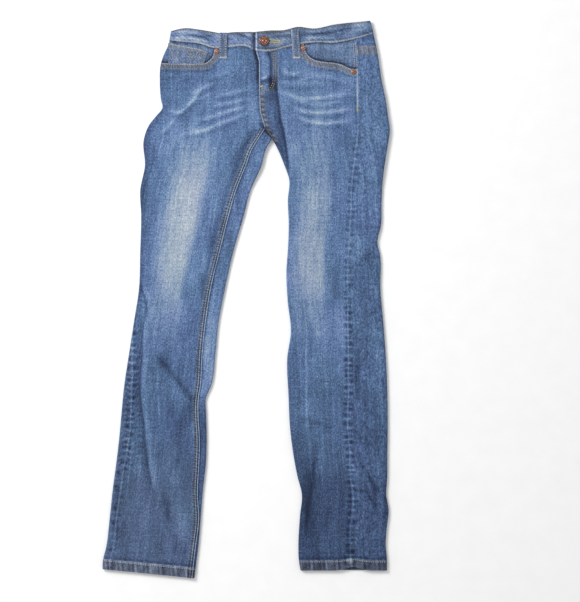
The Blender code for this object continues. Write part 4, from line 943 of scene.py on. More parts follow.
def fell_tone(x, y, from_end):
    """The felled seam and the cloth beside it: change of level, share of the pale lines, and where it is."""
    across, below = x - crotch_inseam(y), y < CROTCH_Y
    on_fell = below * smooth_step(across + FELL_WIDTH + 1)
    beside = 0.1 * bell(across + 14, 7.0) * smooth_step((220 - np.abs(y - 150)) / 100)
    beside = beside + 0.07 * bell(across + 20, 9.0) * smooth_step((y - 190) / 50)
    level = on_fell * (0.25 * fell_ticks(x, y) - 0.19)
    level = level + below * (0.07 * bell(across + FELL_WIDTH + 1, 1.0) - beside)
    return level, below * stripes(from_end, FELL_LINES), on_fell


def shade_front_right(x, y, up, from_start, from_end):
    high = smooth_step((y - 60) / 90)
    worn = thigh_wear(right_fade, x, y, (52, 30 + 14 * high), (46, 16 + 16 * high))
    mouth_level, mouth_grey = mouth_tone(x, y)
    level = right_level(y) + worn + whisker_wear(x, y) + crease_dye_and_shade(x, y) + mouth_level
    # Painted shade in the valley left of the shin's fold.
    level = level + fold_shade_and_lip(shin_fold, x, y, 0.14, 0.09) + 0.11 * strip_mottles(x, y)
    low = smooth_step((y + 60) / 60)
    thigh = bell(y - 170, 130.0)
    # Painted shade where the cloth turns over the outer edge.
    level = level + edge_shade(x, right_edge(y), 0.08 + 0.15 * thigh, 11) * low
    fell, line, on_fell = fell_tone(x, y, from_end)
    level = (level + fell) * (1 - line) + FELL_LINE_LEVEL * line
    level = level - 0.16 * (y < CROTCH_Y) * bell(from_end - 2.6, 0.9)
    level = level + (y < -40) * seam_edge(from_start, y) + ladder_tone(right_seam_puckers(x, y))
    worn_line = smooth_step((-300 - y) / 20) * smooth_step((y + 448) / 20)
    worn_line = worn_line * (0.7 + 0.3 * uneven(y, 13.0, 0.4))
    level = level + 0.13 * worn_line * bell(from_start - 1.2, 1.3)
    # Painted shadow beside the fly's edge.
    fly_shadow = 0.1 + 0.1 * smooth_step((y - 350) / 20) + 0.2 * smooth_step((y - 368) / 14)
    fly_shadow_width = 2.6 + 1.8 * smooth_step((y - 360) / 20)
    level = level - (y > CROTCH_Y) * fly_shadow * bell(from_end - 0.6, fly_shadow_width)
    # Painted shade under the waistband's seam.
    level = level + shade_and_puckers_under_waist(x, y)
    grey = np.maximum(mouth_grey, 0.55 * on_fell * (1 - line))
    muted = 0.18 * smooth_step((-200 - y) / 150)
    return blend_under(level, np.maximum(np.maximum(grey, muted), 1.4 * worn), y, up)


def shade_front_left(x, y, up, from_start, from_end):
    worn = thigh_wear(left_fade, x, y, (50, 35), (50, 18))
    mouth_level, mouth_grey = mouth_tone(x, y)
    level = left_level(y) + worn + whisker_wear(x, y) + crease_dye_and_shade(x, y) + mouth_level
    # Painted shade in the valley left of the fly's fold.
    level = level + fold_shade_and_lip(fly_fold, x, y, 0.25, 0.05)
    level = level + seam_edge(from_end, y) + ladder_tone(left_seam_puckers(x, y))
    level = level + 0.24 * (y > 326) * bell(from_end - 1.3, 1.4)
    # Painted shade along the left leg's inner edge by the crotch, and under the waistband's seam.
    edge = bell(x - left_inner(np.minimum(y, GAP_Y)), 6.5) * (y < GAP_Y)
    level = level - edge * (0.03 + 0.14 * smooth_step((y - 238) / 24)) + shade_and_puckers_under_waist(x, y)
    fly_level, fly_grey = fly_tone(x, y)
    level = level + fly_level + (y > CROTCH_Y) * 0.2 * bell(from_start, 1.2)
    return blend_under(level, np.maximum(np.maximum(mouth_grey, fly_grey), 1.7 * worn), y, up)


def fly_tone(x, y):
    """The fly's ridge with a painted highlight, its valley in painted shade and its curved band, the seat
    seam's dotted band below, and painted shade beside the fold: level and greyness.
    """
    across = x - front_middle(y)
    on_fly = smooth_step((y - FLY_END_Y) / 6) * (across > 0) * (across < FLY_WIDTH)
    ridge = stripes(across, FLY_STRIPES) + marks(x, y, FLY_MARKS)
    ridge = ridge + 0.13 * bell(across - 16.5, 1.2) * smooth_step((418 - y) / 6) * smooth_step((y - 379) / 6)
    # Painted shade in the valley right of the fly's ridge.
    valley = -(0.22 + 0.1 * smooth_step((386 - y) / 8)) * bell(across - 21, 2.7)
    band = smooth_step((across - 23.5) / 2) * smooth_step((34 - across) / 2)
    band_level = band * (0.08 * uneven(y + x, 6.0, 1.1) - 0.07 - 0.07 * smooth_step((394 - y) / 6))
    level = on_fly * (ridge + valley + band_level)
    level = level - 0.09 * bell(across - 35, 1.6) * smooth_step((y - 366) / 6)
    low = smooth_step((FLY_END_Y - y) / 6) * (y > GAP_Y - 14)
    seam_band = low * smooth_step((SEAM_BAND_WIDTH - across) / 2)
    dots = (0.5 + 0.5 * np.cos(2 * math.pi * y / SEAM_DOT_PITCH)) ** 2
    spots = 0.24 * dots * bell(across - 5.8, 2.0) - 0.13 * (1 - dots) * bell(across - 5.8, 3.2)
    level = level + seam_band * (spots - 0.06) - 0.07 * low * bell(across - SEAM_BAND_WIDTH, 1.4)
    # Painted shade where the cloth lies low under the fold, below the fly.
    under_fold_shade = smooth_step((366 - 0.6 * across + 14 - y) / 16) * (y > GAP_Y - 14)
    under_fold_shade = under_fold_shade * smooth_step((fly_fold.x(y) - x) / 6) * smooth_step((across - 10) / 4)
    level = level - (0.05 + 0.06 * smooth_step((y - 330) / 15)) * under_fold_shade
    return level, np.maximum(0.6 * seam_band, 0.6 * on_fly * band)


def shade_back_left(x, y, up, from_start, from_end):
    level = left_back_level(y) + crease_dye_and_shade(x, y) + 0.6 * seam_edge(from_start, y)
    # Painted shade where the cloth turns over the outer edge.
    level = level + ladder_tone(left_seam_puckers(x, y)) + edge_shade(x, left_edge(y), 0.06, 9)
    return blend_under(level, 0.0 * x, y, up)


def shade_back_right(x, y, up, from_start, from_end):
    level = right_strip_level(y) + 0.14 * strip_mottles(x, y) + 0.6 * seam_edge(from_end, y)
    # Painted shade in the valley left of the shin's fold.
    level = level + fold_shade_and_lip(shin_fold, x, y, 0.11, 0.0) + ladder_tone(right_seam_puckers(x, y))
    return blend_under(level + crease_dye_and_shade(x, y), 0.15 + 0.0 * x, y, up)


def shade_flap(x, y, up, from_start, from_end):
    # Painted shadow beside the felled seam's edge, and painted shade where the cloth turns down over its
    # edge.
    level = flap_level(y) - 0.17 * bell(from_start, 1.6) + crease_dye_and_shade(x, y) - 0.03 * (1 - up)
    return blend_under(level, 0.0 * x, y, up)


# The panels

LEGS = {
    "right": (right_leg, RIGHT_HEM_Y, RIGHT_HEM_SLOPE, right_lean),
    "left": (left_leg, LEFT_HEM_Y, 0.0, left_lean),
}
# The third place of each panel's cloth, so that no two panels share their noise.
PATCHES = {
    "back_right": 1.0, "back_left": 1.6, "yoke_right": 2.2, "yoke_left": 2.8, "facing": 3.3,
    "band": 4.1, "loop": 5.0, "pocket": 6.0, "coin": 7.0,
}


def leg_grid(side, limits, count, spots, shade, patch=0.0):
    """A leg panel's rows, from where the legs part down to the hem."""
    tube, hem_y, slope, lean = LEGS[side]
    steps = max(int((GAP_Y - hem_y - LAST_LEG_ROW) / ROW_STEP), 1)
    rows = list(np.linspace(GAP_Y, hem_y + LAST_LEG_ROW, steps)) + [hem_y + up for up in HEM_ROWS]
    rings, ys, ups = [], [], []
    for row_y in rows:
        start, end = (float(v) for v in limits(tube, row_y))
        line = spaced(start, max(end, start), count, spots(tube, row_y))
        share = (line - start) / max(end - start, 1e-6)
        x, _, up = tube.place(line, row_y)
        a, b = tube.edges(row_y)
        y = leg_y(row_y, x, (a + b) / 2, slope, hem_y, np.maximum(up, 0) if side == "left" else 0.0)
        start_there, end_there = limits(tube, y)
        rings.append(start_there + share * np.maximum(end_there - start_there, 0))
        ys.append(y)
        ups.append(np.full(count + 1, row_y - hem_y))
    ring, y, up = np.array(rings), np.array(ys), np.array(ups)
    place = tube.place(ring, y)[0]
    hem = hem_lift(up + hem_y, hem_y, place) * (up <= HEM_TOP + 0.5)
    start_there, end_there = limits(tube, y)

    def with_hem(x, y, facing, from_start, from_end):
        level, grey = shade(x, y, facing, from_start, from_end)
        hem_level, hem_grey = hem_tone(up, x, hem_y)
        # Painted shade in the opening under the left hem's arch.
        inside = hem_opening_shade(x, y) * (facing < 0)
        return level + hem_level + inside, np.maximum(grey, hem_grey)

    return cloth_grid(tube, ring, y, with_hem, lean, (start_there, end_there), patch, hem)


def front_limits(side):
    if side == "right":
        return lambda tube, y: (right_outseam(y) + HALF_GAP, tube.top(front_end(y), y) - HALF_GAP)
    return lambda tube, y: (
        tube.top(front_middle(y), y) + HALF_GAP if tube is trunk else 0.0 * y,
        tube.top(left_outseam(y), y) - HALF_GAP,
    )


def front_end(y):
    """x where the right front ends: at the fly and the seat seam, then at the inseam."""
    return np.where(y >= CROTCH_Y, front_middle(y), crotch_inseam(y))


def front_spots(side):
    def right(tube, y):
        spots = [(0.0, 7.0, 5.0), (float(tube.top(front_end(y), y)), 4.0, 5.0)]
        spots.append((float(tube.top(crotch_inseam(y) - FELL_WIDTH, y)), 3.0, 3.0))
        if shin_fold.low < y < shin_fold.top:
            spots.append((float(tube.top(shin_fold.x(y), y)), 9.0, 6.0))
        spots.append((float(right_outseam(y)), 4.0, 2.0))
        return spots

    def left(tube, y):
        fold = (float(tube.top(fly_fold.x(y), y)), 9.0, 6.0)
        return [(0.0, 7.0, 5.0), (float(tube.top(left_outseam(y), y)), 4.0, 6.0), fold]

    return right if side == "right" else left


def front_trunk(side, count, shade):
    """A front from the pocket's edge and the waistband's seam down to where the legs part."""
    right = side == "right"
    limits, leg = front_limits(side), LEGS[side][0]
    start, end = (float(v) for v in limits(leg, GAP_Y))
    low_share = (spaced(start, end, count, front_spots(side)(leg, GAP_Y)) - start) / (end - start)
    mouth, corner, scoop_x = MOUTHS[side]
    start, end = (float(v) for v in limits(trunk, SCOOP_Y))
    spots = [(float(trunk.top(scoop_x, SCOOP_Y)), 14.0, 12.0), (float(trunk.top(corner, SCOOP_Y)), 3.0, 3.0)]
    spots.append((end, 4.0, 4.0) if right else (start, 4.0, 4.0))
    top_share = (spaced(start, end, count, spots) - start) / (end - start)
    y_top = np.full(count + 1, TRUNK_TOP)
    for _ in range(10):
        start, end = limits(trunk, y_top)
        x = trunk.place(start + top_share * (end - start), y_top)[0]
        on_mouth = x < corner if right else x > corner
        y_top = np.where(on_mouth, np.minimum(mouth(x), waist_seam(x) - HALF_GAP), waist_seam(x) - HALF_GAP)
    steps = int((TRUNK_TOP - GAP_Y) / ROW_STEP)
    down = (np.arange(steps) / steps)[:, None]
    y = y_top + (GAP_Y - y_top) * down
    blend = smooth_step(down)
    share = top_share * (1 - blend) + low_share * blend
    start, end = limits(trunk, y)
    ring = start + share * (end - start)
    return cloth_grid(trunk, ring, y, shade, LEGS[side][3], (start, end), 0.0)


def back_trunk(side, first, last, count, low_share, shade, patch):
    """Rows of the back between two of its named rows."""
    right = side == "right"
    rows = np.array(BACK_ROWS, float)
    depth = abs(rows[last, 2] - rows[first, 2])
    steps = max(int(depth / ROW_STEP), 2)
    levels = first + (last - first) * np.arange(steps + (last == YOKE_SEAM)) / steps
    at_side = np.interp(levels, np.arange(len(rows)), rows[:, 0 if right else 1])[:, None]
    at_back = np.interp(levels, np.arange(len(rows)), rows[:, 2])[:, None]
    y = np.repeat(at_back, count + 1, axis=1)
    for _ in range(10):
        half = trunk.half(y)
        if right:
            start, end = trunk.under(back_middle(y), y) + HALF_GAP, 2 * half + right_outseam(y) - HALF_GAP
        else:
            start, end = trunk.top(left_outseam(y), y) + HALF_GAP, trunk.under(back_middle(y), y) - HALF_GAP
        ring = start + low_share * (end - start)
        x, _, up = trunk.place(ring, y)
        a, b = trunk.edges(y)
        if right:
            share = (x - a - ROLL) / (back_middle(y) - a - ROLL)
        else:
            share = np.where(ring > half, (b - ROLL - x) / (b - ROLL - back_middle(y)), 0.0)
        plain = at_side + (at_back - at_side) * np.clip(share, 0, 1)
        near_band = np.clip(1 - levels, 0, 1)[:, None]
        seam_y = np.where(up > 0, waist_seam(x), back_seam(x)) - HALF_GAP
        top_side, top_back = BACK_ROWS[0][0 if right else 1], BACK_ROWS[0][2]
        top_row = top_side * (1 - np.clip(share, 0, 1)) + top_back * np.clip(share, 0, 1)
        y = plain + near_band * (seam_y - top_row)
        near_yoke = (levels[:, None] >= YOKE_SEAM) & (levels[:, None] < YOKE_SEAM + 0.5)
        y = y - HALF_GAP * near_yoke * (first == YOKE_SEAM)
    return cloth_grid(trunk, ring, y, shade, LEGS[side][3], (start, end), patch)


def columns(width):
    return int(width / COLUMN_STEP)


def build_fronts(denim):
    """The two fronts, the left one with the strip of its leg that shows on the underside."""
    count = columns(PANEL_WIDTH)
    grids = {}
    for side, shade in (("right", shade_front_right), ("left", shade_front_left)):
        leg = leg_grid(side, front_limits(side), count, front_spots(side), shade)
        grids[side] = [Grid.joined(front_trunk(side, count, shade), leg)]
    grids["left"].append(leg_grid(
        "left",
        lambda tube, y: (np.minimum(0.0, HALF_GAP - left_inseam(y)), 0.0 * y),
        columns(UNDER_WIDTH), lambda tube, y: [(0.0, 7.0, 4.0)],
        lambda x, y, up, from_start, from_end: shade_front_left(x, y, up, from_start + FAR, from_end + FAR),
    ))
    for side in ("right", "left"):
        cloth_mesh("denim_front_" + side, grids[side], denim)


def back_shares(side, count):
    """Where a back's columns stand between its seams, closer together on the rolled edges."""
    tube = LEGS[side][0]
    half = float(tube.half(GAP_Y))
    if side == "right":
        start, end = half, 2 * half + float(right_outseam(GAP_Y))
        spots = [(half, 7.0, 4.0), (2 * half, 8.0, 5.0)]
    else:
        start, end = float(tube.top(left_outseam(GAP_Y), GAP_Y)), 2 * half
        spots = [(half, 8.0, 5.0), (2 * half, 7.0, 4.0), (start, 4.0, 5.0)]
    return (spaced(start, end, count, spots) - start) / (end - start)


def crotch_flap():
    """The strip of the right back that lies on top beyond the felled seam, from the crotch down."""
    count = columns(FLAP_WIDTH)
    y = np.linspace(CROTCH_Y, GAP_Y, 9)[:-1][:, None]
    start = trunk.top(crotch_inseam(y), y) + HALF_GAP
    end = np.maximum(trunk.top(front_middle(y), y) - HALF_GAP, start)
    leg_start = float(right_leg.top(crotch_inseam(GAP_Y), GAP_Y)) + HALF_GAP
    leg_end = float(right_leg.half(GAP_Y))
    share = spaced(leg_start, leg_end, count, [(leg_end, 8.0, 4.0), (leg_start, 3.0, 4.0)])
    share = (share - leg_start) / (leg_end - leg_start)
    ring = start + (end - start) * share
    y = np.repeat(y, count + 1, axis=1)
    top = cloth_grid(trunk, ring, y, shade_flap, right_lean, (start, end), PATCHES["back_right"])
    low = leg_grid(
        "right",
        lambda tube, y: (tube.top(crotch_inseam(y), y) + HALF_GAP, tube.half(y)),
        count,
        lambda tube, y: [(float(tube.half(y)), 8.0, 4.0), (float(tube.top(crotch_inseam(y), y)), 3.0, 4.0)],
        shade_flap, PATCHES["back_right"],
    )
    return Grid.joined(top, low)


def build_backs(denim):
    """The two backs from the yoke's seam down, and the two yokes."""
    limits = {
        "right": lambda tube, y: (tube.half(y), 2 * tube.half(y) + right_outseam(y) - HALF_GAP),
        "left": lambda tube, y: (
            tube.top(left_outseam(y), y) + HALF_GAP,
            2 * tube.half(y) - np.maximum(left_inseam(y), 0) - HALF_GAP,
        ),
    }
    spots = {
        "right": lambda tube, y: [(float(tube.half(y)), 7.0, 4.0), (2 * float(tube.half(y)), 8.0, 5.0)],
        "left": lambda tube, y: [
            (float(tube.half(y)), 8.0, 5.0), (float(tube.top(left_outseam(y), y)), 4.0, 5.0),
        ],
    }
    count = columns(PANEL_WIDTH)
    for side, shade in (("right", shade_back_right), ("left", shade_back_left)):
        share, patch = back_shares(side, count), PATCHES["back_" + side]
        top = back_trunk(side, YOKE_SEAM, len(BACK_ROWS) - 1, count, share, shade, patch)
        grids = [Grid.joined(top, leg_grid(side, limits[side], count, spots[side], shade, patch))]
        if side == "right":
            grids.append(crotch_flap())
        cloth_mesh("denim_back_" + side, grids, denim)
    count = columns(YOKE_WIDTH)
    for side, shade in (("right", shade_back_right), ("left", shade_yoke_left)):
        grid = back_trunk(side, 0, YOKE_SEAM, count, back_shares(side, count), shade, PATCHES["yoke_" + side])
        cloth_mesh("denim_yoke_" + side, [grid], denim)


def shade_yoke_left(x, y, up, from_start, from_end):
    band = smooth_step((436 - y) / 2) * (up > 0)
    level = YOKE_LEVEL + 0.03 * band + 0.1 * band * uneven(x + 0.2 * y, 8.6, 1.0)
    level = level + seam_edge(from_start, y)
    level = level - 0.08 * bell(y - 437.5, 1.5) - 0.07 * (waist_seam(x) - y < 9) * (up > 0)
    # Painted shade where the cloth turns over the outer edge.
    return blend_under(level + edge_shade(x, left_edge(y), 0.06, 9), 0.75 * band, y, up)


def facing_limits(side, y):
    """Ring places of a facing's ends: at the outseam, and under the front past the pocket's inner corner."""
    corner = MOUTHS[side][1]
    if side == "right":
        return right_outseam(y) + HALF_GAP, trunk.top(corner + FACING_LAP, y)
    return trunk.top(corner - FACING_LAP, y), trunk.top(left_outseam(y), y) - HALF_GAP


def build_facings(denim):
    """The denim inside each pocket's mouth, lower than the front by its own cloth."""
    for side, dye in FACING_LEVELS.items():
        mouth = MOUTHS[side][0]
        place = np.linspace(0, 1, columns(FACING_WIDTH) + 1)
        high = np.full(place.shape, BAND_Y)
        for _ in range(8):
            start, end = facing_limits(side, high)
            x = trunk.place(start + place * (end - start), high)[0]
            high = waist_seam(x) - HALF_GAP
        ramp = smooth_step((place if side == "right" else 1 - place) * 8)
        low = np.minimum(mouth(x) + 0.1 - 4.0 * ramp, high - 0.4)
        y = high + (low - high) * np.linspace(0, 1, 18)[:, None]
        start, end = facing_limits(side, y)
        ring = start + place * (end - start)
        sink = (MOUTH_RECESS + 0.1) * ramp * np.ones_like(y)

        def shade(x, y, up, from_start, from_end, dye=dye, mouth=mouth):
            over, under = np.maximum(y - mouth(x), 0), waist_seam(x) - y
            shadow = 0.32 * bell(over, 2.8) + 0.1 * bell(over, 8.0) + 0.1 * bell(under, 2.6)
            worn = 0.05 * bell(under - 7, 3.0) + 0.03 * uneven(x, 11.0, 0.3) * bell(under, 6.0)
            return dye - shadow + worn + 0.02 * ripple(x, y, 16.0, 41), 0.2 + 0.0 * x

        grid = cloth_grid(trunk, ring, y, shade, LEGS[side][3], (start, end), PATCHES["facing"], sink=sink)
        cloth_mesh("denim_facing_" + side, [grid], denim)


def band_ring(kind, value, y):
    """Ring place of one of the waistband's columns at a y."""
    half = band_tube.half(y)
    if kind == "lower end":
        return band_tube.top(value, y)
    if kind == "right side":
        return value + 0 * y
    if kind == "behind":
        return -band_tube.top(value, y)
    if kind == "left side":
        return value - half
    return band_tube.top(value, y) - 2 * half


def build_band(denim):
    """The waistband, from its lower end under the lap, round the back, to its upper end."""
    turn = math.pi * BAND_ROLL / 2
    first_x, last_x = float(right_edge(BAND_Y)) + BAND_ROLL, float(left_edge(BAND_Y)) - BAND_ROLL
    stretches = [
        ("lower end", np.linspace(LAP_END, first_x, columns(2 * (LAP_END - first_x)))),
        ("right side", np.linspace(turn, -turn, 12)[1:-1]),
        ("behind", np.linspace(first_x, last_x, columns(last_x - first_x))),
        ("left side", np.linspace(turn, -turn, 12)[1:-1]),
        ("upper end", np.linspace(last_x, LAP_START, columns(2 * (last_x - LAP_START)))),
    ]
    rows = []
    for up in BAND_ROWS:
        line = []
        for kind, values in stretches:
            y = np.full(len(values), BAND_Y)
            for _ in range(4):
                x, z, facing = band_tube.place(band_ring(kind, values, y), y)
                seam = np.where(facing > 0, waist_seam(x), back_seam(x))
                y = seam + HALF_GAP + (waist_top(x) - seam - HALF_GAP) * up
            inner_x, inner_z, _ = band_tube.place(band_ring(kind, values, y), y, BAND_CLOTH)
            dip = 0.0
            if kind == "lower end":
                dip = LAP_DIP * smooth_step((x - LAP_START + LAP_RAMP) / (LAP_RAMP - 2))
            over = 0.5 * abs(2 * up - 1) ** 5 * np.maximum(facing, 0)
            crease = band_relief(x, y, up) * np.maximum(facing, 0) ** 2
            z = np.maximum(z - NARROW - dip - over + crease, base(y) + UNDER_CLEAR)
            front = smooth_step(facing + 0.6)
            level = band_level(x, y, up, kind) * front + BAND_UNDER_LEVEL * (1 - front)
            line.append((np.stack([x, y, z], -1), np.stack([inner_x, y, inner_z - NARROW - dip], -1),
                         np.stack([y, x, np.full(x.shape, PATCHES["band"])], -1),
                         level, band_grey(x, up) * front))
        rows.append([np.concatenate([part[k] for part in line]) for k in range(5)])
    grid = Grid(*[np.array([row[k] for row in rows]) for k in range(5)])
    cloth_mesh("denim_waistband", [grid], denim)


def band_relief(x, y, up):
    """Lengthwise creases and small puckers of the waistband."""
    puckers = 0.2 * uneven(x + 0.3 * y, 9.0, 0.2) * (0.4 + np.abs(2 * up - 1))
    return puckers + marks(x, y, [(path, width * 1.2, rise) for path, width, _, rise in BAND_MARKS])


def band_level(x, y, up, kind):
    """Dye of the waistband: worn along its edges and creases, mottled by its puckers, with painted shade in
    its sunk creases, a painted shadow right of the right front loop and one beside the lap.
    """
    level = np.where(x < BAND_CHANGE_X, BAND_RIGHT_LEVEL, BAND_LEFT_LEVEL) + stripes(up, BAND_STRIPES)
    level = level + 0.05 * ripple(x, 2.2 * y, 22.0, 51) + 0.06 * uneven(x + y, 6.5, 1.9)
    level = level + marks(x, y, [(path, width, change) for path, width, change, _ in BAND_MARKS])
    # Painted shadow of the lap's edge.
    level = level - 0.26 * bell(x - 14.0, 2.6) * (x < LAP_START)
    return level + stripes(x - LAP_START, LAP_STRIPES) * (kind == "upper end")


def band_grey(x, up):
    """Greyness of the waistband: along its stitched edges, and most near the button."""
    brown = 0.75 * bell(x - 48, 28.0) * bell(up, 0.3)
    edges = 0.5 * bell(up, 0.12) + 0.5 * bell(up - 0.96, 0.07)
    return np.maximum(0.2 + edges + 0.2 * bell(x - 50, 25.0), brown)


# Loops and pockets


def loop_grid(path, bulge):
    """A belt loop along rows of (x, y, z of its inner face), across x."""
    across = np.array(LOOP_CROSS)
    path = np.array(path, float)
    x = path[:, 0:1] + across * LOOP_WIDTH
    y = path[:, 1:2] + 0 * across
    crown = bulge * (1 - (2 * across) ** 2)
    edge = 0.35 * np.abs(2 * across) ** 12
    z = path[:, 2:3] + crown * 0.5
    outer = np.stack([x, y, z + LOOP_CLOTH + crown * 0.5 - edge], -1)
    inner = np.stack([x, y, z], -1)
    cloth = np.stack([x, y, np.full(x.shape, PATCHES["loop"])], -1)
    level = LOOP_LEVEL + stripes(np.abs(across), LOOP_STRIPES) + 0.06 * uneven(y + 30 * across, 5.0, 0.5)
    return Grid(outer, inner, cloth, level, LOOP_GREY)


def band_top_z(x, y):
    """Height of what lies under a belt loop: the waistband, or the front below it."""
    on_band = base(y) + 2 * BAND_ROLL - NARROW
    return np.where(y > waist_seam(x) - 3, on_band, top_z(x, y))


def loop_path(x_top, y_top, x_low, y_low):
    path = []
    for share in np.linspace(0, 1, 24):
        x, y = x_top + (x_low - x_top) * share, y_top + (y_low - y_top) * share
        heights = [float(band_top_z(x + dx, y + dy)) for dx in (-7, 0, 7) for dy in (-4, 0, 4)]
        arch = 1.2 * math.sin(math.pi * min(share / 0.75, 1.0))
        fold = 0.5 * max(0.0, 1 - min(share, 1 - share) / 0.05)
        path.append((x, y, max(heights) + 0.15 + arch - fold))
    return path


def build_loops(denim):
    for name, *ends in FRONT_LOOPS:
        cloth_mesh("denim_loop_" + name, [loop_grid(loop_path(*ends), 0.3)], denim)
    for name, x in BACK_LOOPS:
        path = [(x, y, 0.3) for y in np.linspace(*BACK_LOOP_SPAN, 20)]
        cloth_mesh("denim_loop_" + name, [loop_grid(path, 0.0)], denim)


def pocket_corners(middle, sign):
    return [(middle + x, y + (sign * POCKET_SLOPE * x if y > 300 else 0.0)) for x, y in POCKET_SHAPE]


def build_back_pockets(denim):
    """Plain patches on the underside, with their edges turned in."""
    for side, middle, sign in POCKET_MIDDLES:
        corners = pocket_corners(middle, sign)
        (xa, ya), (xb, yb), (xc, yc), (xd, yd), (xe, ye) = corners
        down = np.linspace(0, 1, 50)[:, None]
        across = np.linspace(0, 1, 56)[None, :]
        left, right = xa + (xe - xa) * down, xb + (xc - xb) * down
        x = left + (right - left) * across
        top_y = ya + (yb - ya) * across
        low_y = np.where(across < 0.5, ye + (yd - ye) * across * 2, yd + (yc - yd) * (across * 2 - 1))
        y = top_y + (low_y - top_y) * down
        rim = np.minimum(np.minimum(across, 1 - across) * 120, np.minimum(down, 1 - down) * 110)
        z = 0.35 + 0.25 * smooth_step((2.0 - rim) / 2.0)
        outer = np.stack([x, y, np.broadcast_to(z, x.shape)], -1)
        inner = np.stack([x, y, np.full(x.shape, POCKET_CLOTH)], -1)
        cloth = np.stack([x, y, np.full(x.shape, PATCHES["pocket"])], -1)
        level = POCKET_LEVEL + 0.09 * bell(rim, 2.0) - 0.04 * bell(rim - 6, 3.0) + 0 * x
        grid = Grid(outer[:, ::-1], inner[:, ::-1], cloth[:, ::-1], level[:, ::-1], POCKET_GREY)
        cloth_mesh("denim_pocket_" + side, [grid], denim)


def coin_place(across, up):
    """x, y and z of the coin pocket's inner face, from shares of its width and height."""
    right_x = COIN_RIGHT_LOW + (COIN_RIGHT_TOP - COIN_RIGHT_LOW) * up
    x = COIN_LEFT_X + (right_x - COIN_LEFT_X) * across
    high = waist_seam(x) - COIN_DROP - 6 * across
    y = COIN_LOW_Y - 2.5 + (high - COIN_LOW_Y + 2.5) * up
    sink = MOUTH_RECESS * np.clip((x + 140) / 30, 0, 1)
    z = base(y) + 2 * ROLL - sink + 0.2 - 0.3 * smooth_step((0.2 - up) / 0.2)
    return x, y, z


def build_coin_pocket(denim):
    up = np.concatenate([np.linspace(1, 0.8, 8), np.linspace(0.77, 0, 14)])[:, None]
    across = np.linspace(0, 1, 44)[None, :]
    x, y, z = coin_place(across + 0 * up, up + 0 * across)
    hem = 0.35 * smooth_step((up - 0.7) / 0.04)
    edge = 0.35 * (smooth_step((across - 0.97) / 0.03) + smooth_step((up - 0.97) / 0.03))
    outer = np.stack([x, y, z + COIN_CLOTH + hem - edge + 0.1 * uneven(x + y, 9.0, 0.1)], -1)
    inner = np.stack([x, y, z], -1)
    cloth = np.stack([x - 200, y, np.full(x.shape, PATCHES["coin"])], -1)
    level = COIN_LEVEL + 0.12 * bell(up - 1, 0.05) + 0.1 * bell(across - 1, 0.015)
    level = level - 0.06 * bell(up - 0.66, 0.06)
    level = level + 0.06 * uneven(x * 1.3 + y, 7.0, 0.8)
    grid = Grid(outer, inner, cloth, level, 0.3 + 0.3 * bell(up - 0.9, 0.15))
    cloth_mesh("denim_coin_pocket", [grid], denim)


# Stitches


def ring_faces(rings, sides):
    """The faces of a closed body made of rings of points, with both of its ends capped."""
    faces = []
    for level in range(rings - 1):
        for k in range(sides):
            a, b = level * sides + k, level * sides + (k + 1) % sides
            faces += [(a, b, b + sides), (a, b + sides, a + sides)]
    last = (rings - 1) * sides
    for k in range(1, sides - 1):
        faces += [(0, k + 1, k), (last, last + k, last + k + 1)]
    return np.array(faces)


class Thread:
    """Collects stitches of one colour and makes one joined mesh of them."""

    def __init__(self, name, length=2.9, gap=1.0):
        self.name, self.length, self.gap = name, length, gap
        self.stitches = []

    def add(self, x, y, z, dx, dy, size=1.0, below=False):
        """One stitch with its middle at a point, along a direction, standing down from it if below."""
        self.stitches.append((x, y, z, dx, dy, size, -1.0 if below else 1.0))

    def tack(self, x, y, dx, dy, size, proud, z_of=None):
        """One stitch over the cloth at a place."""
        self.add(x, y, float((z_of or top_z)(x, y)) + proud, dx, dy, size)

    def run(self, path, z_of=None, proud=0.0, step=None, size=1.0, below=False):
        """Stitches along a smooth path over the cloth."""
        places, ways = smooth_curve(path, step or self.length + self.gap)
        z = (z_of or top_z)(places[:, 0], places[:, 1])
        for (x, y), (dx, dy), height in zip(places, ways, np.broadcast_to(z, len(places))):
            self.add(x, y, height + proud, dx, dy, size, below)

    def run_below(self, path, height=None):
        """Stitches along a path on the underside, on the panels or at a height."""
        self.run(path, lambda x, y: base(y) + UNDER_CLEAR if height is None else 0.0 * x + height, below=True)

    def build(self, material):
        turn = np.arange(STITCH_SIDES) / STITCH_SIDES * 2 * math.pi
        unit = np.array([
            (along, 0.5 * swell * math.cos(t), rise + 0.5 * swell * math.sin(t))
            for along, swell, rise in STITCH_RINGS for t in turn
        ])
        faces = ring_faces(len(STITCH_RINGS), STITCH_SIDES)
        rows = np.array(self.stitches, float)
        way = rows[:, 3:5] / np.hypot(rows[:, 3], rows[:, 4])[:, None]
        length = unit[None, :, 0] * self.length * rows[:, 5:6]
        side = unit[None, :, 1] * STITCH_WIDTH
        x = rows[:, 0:1] + way[:, 0:1] * length - way[:, 1:2] * side
        y = rows[:, 1:2] + way[:, 1:2] * length + way[:, 0:1] * side
        z = rows[:, 2:3] + unit[None, :, 2] * STITCH_HEIGHT * rows[:, 6:7]
        points = np.stack([x, y, z], -1).reshape(-1, 3)
        all_faces = []
        for flip, part in ((1.0, faces), (-1.0, faces[:, ::-1])):
            chosen = np.nonzero(rows[:, 6] == flip)[0]
            all_faces.append((part[None] + (chosen * len(unit))[:, None, None]).reshape(-1, 3))
        mesh_piece(self.name, points * MM, np.concatenate(all_faces), material, 80)


def beside(path, distance):
    """A path moved to its left by a distance."""
    path = np.array(path, float)
    way = np.gradient(path, axis=0)
    way = way / np.hypot(way[:, 0], way[:, 1])[:, None]
    return path + distance * np.stack([-way[:, 1], way[:, 0]], -1)


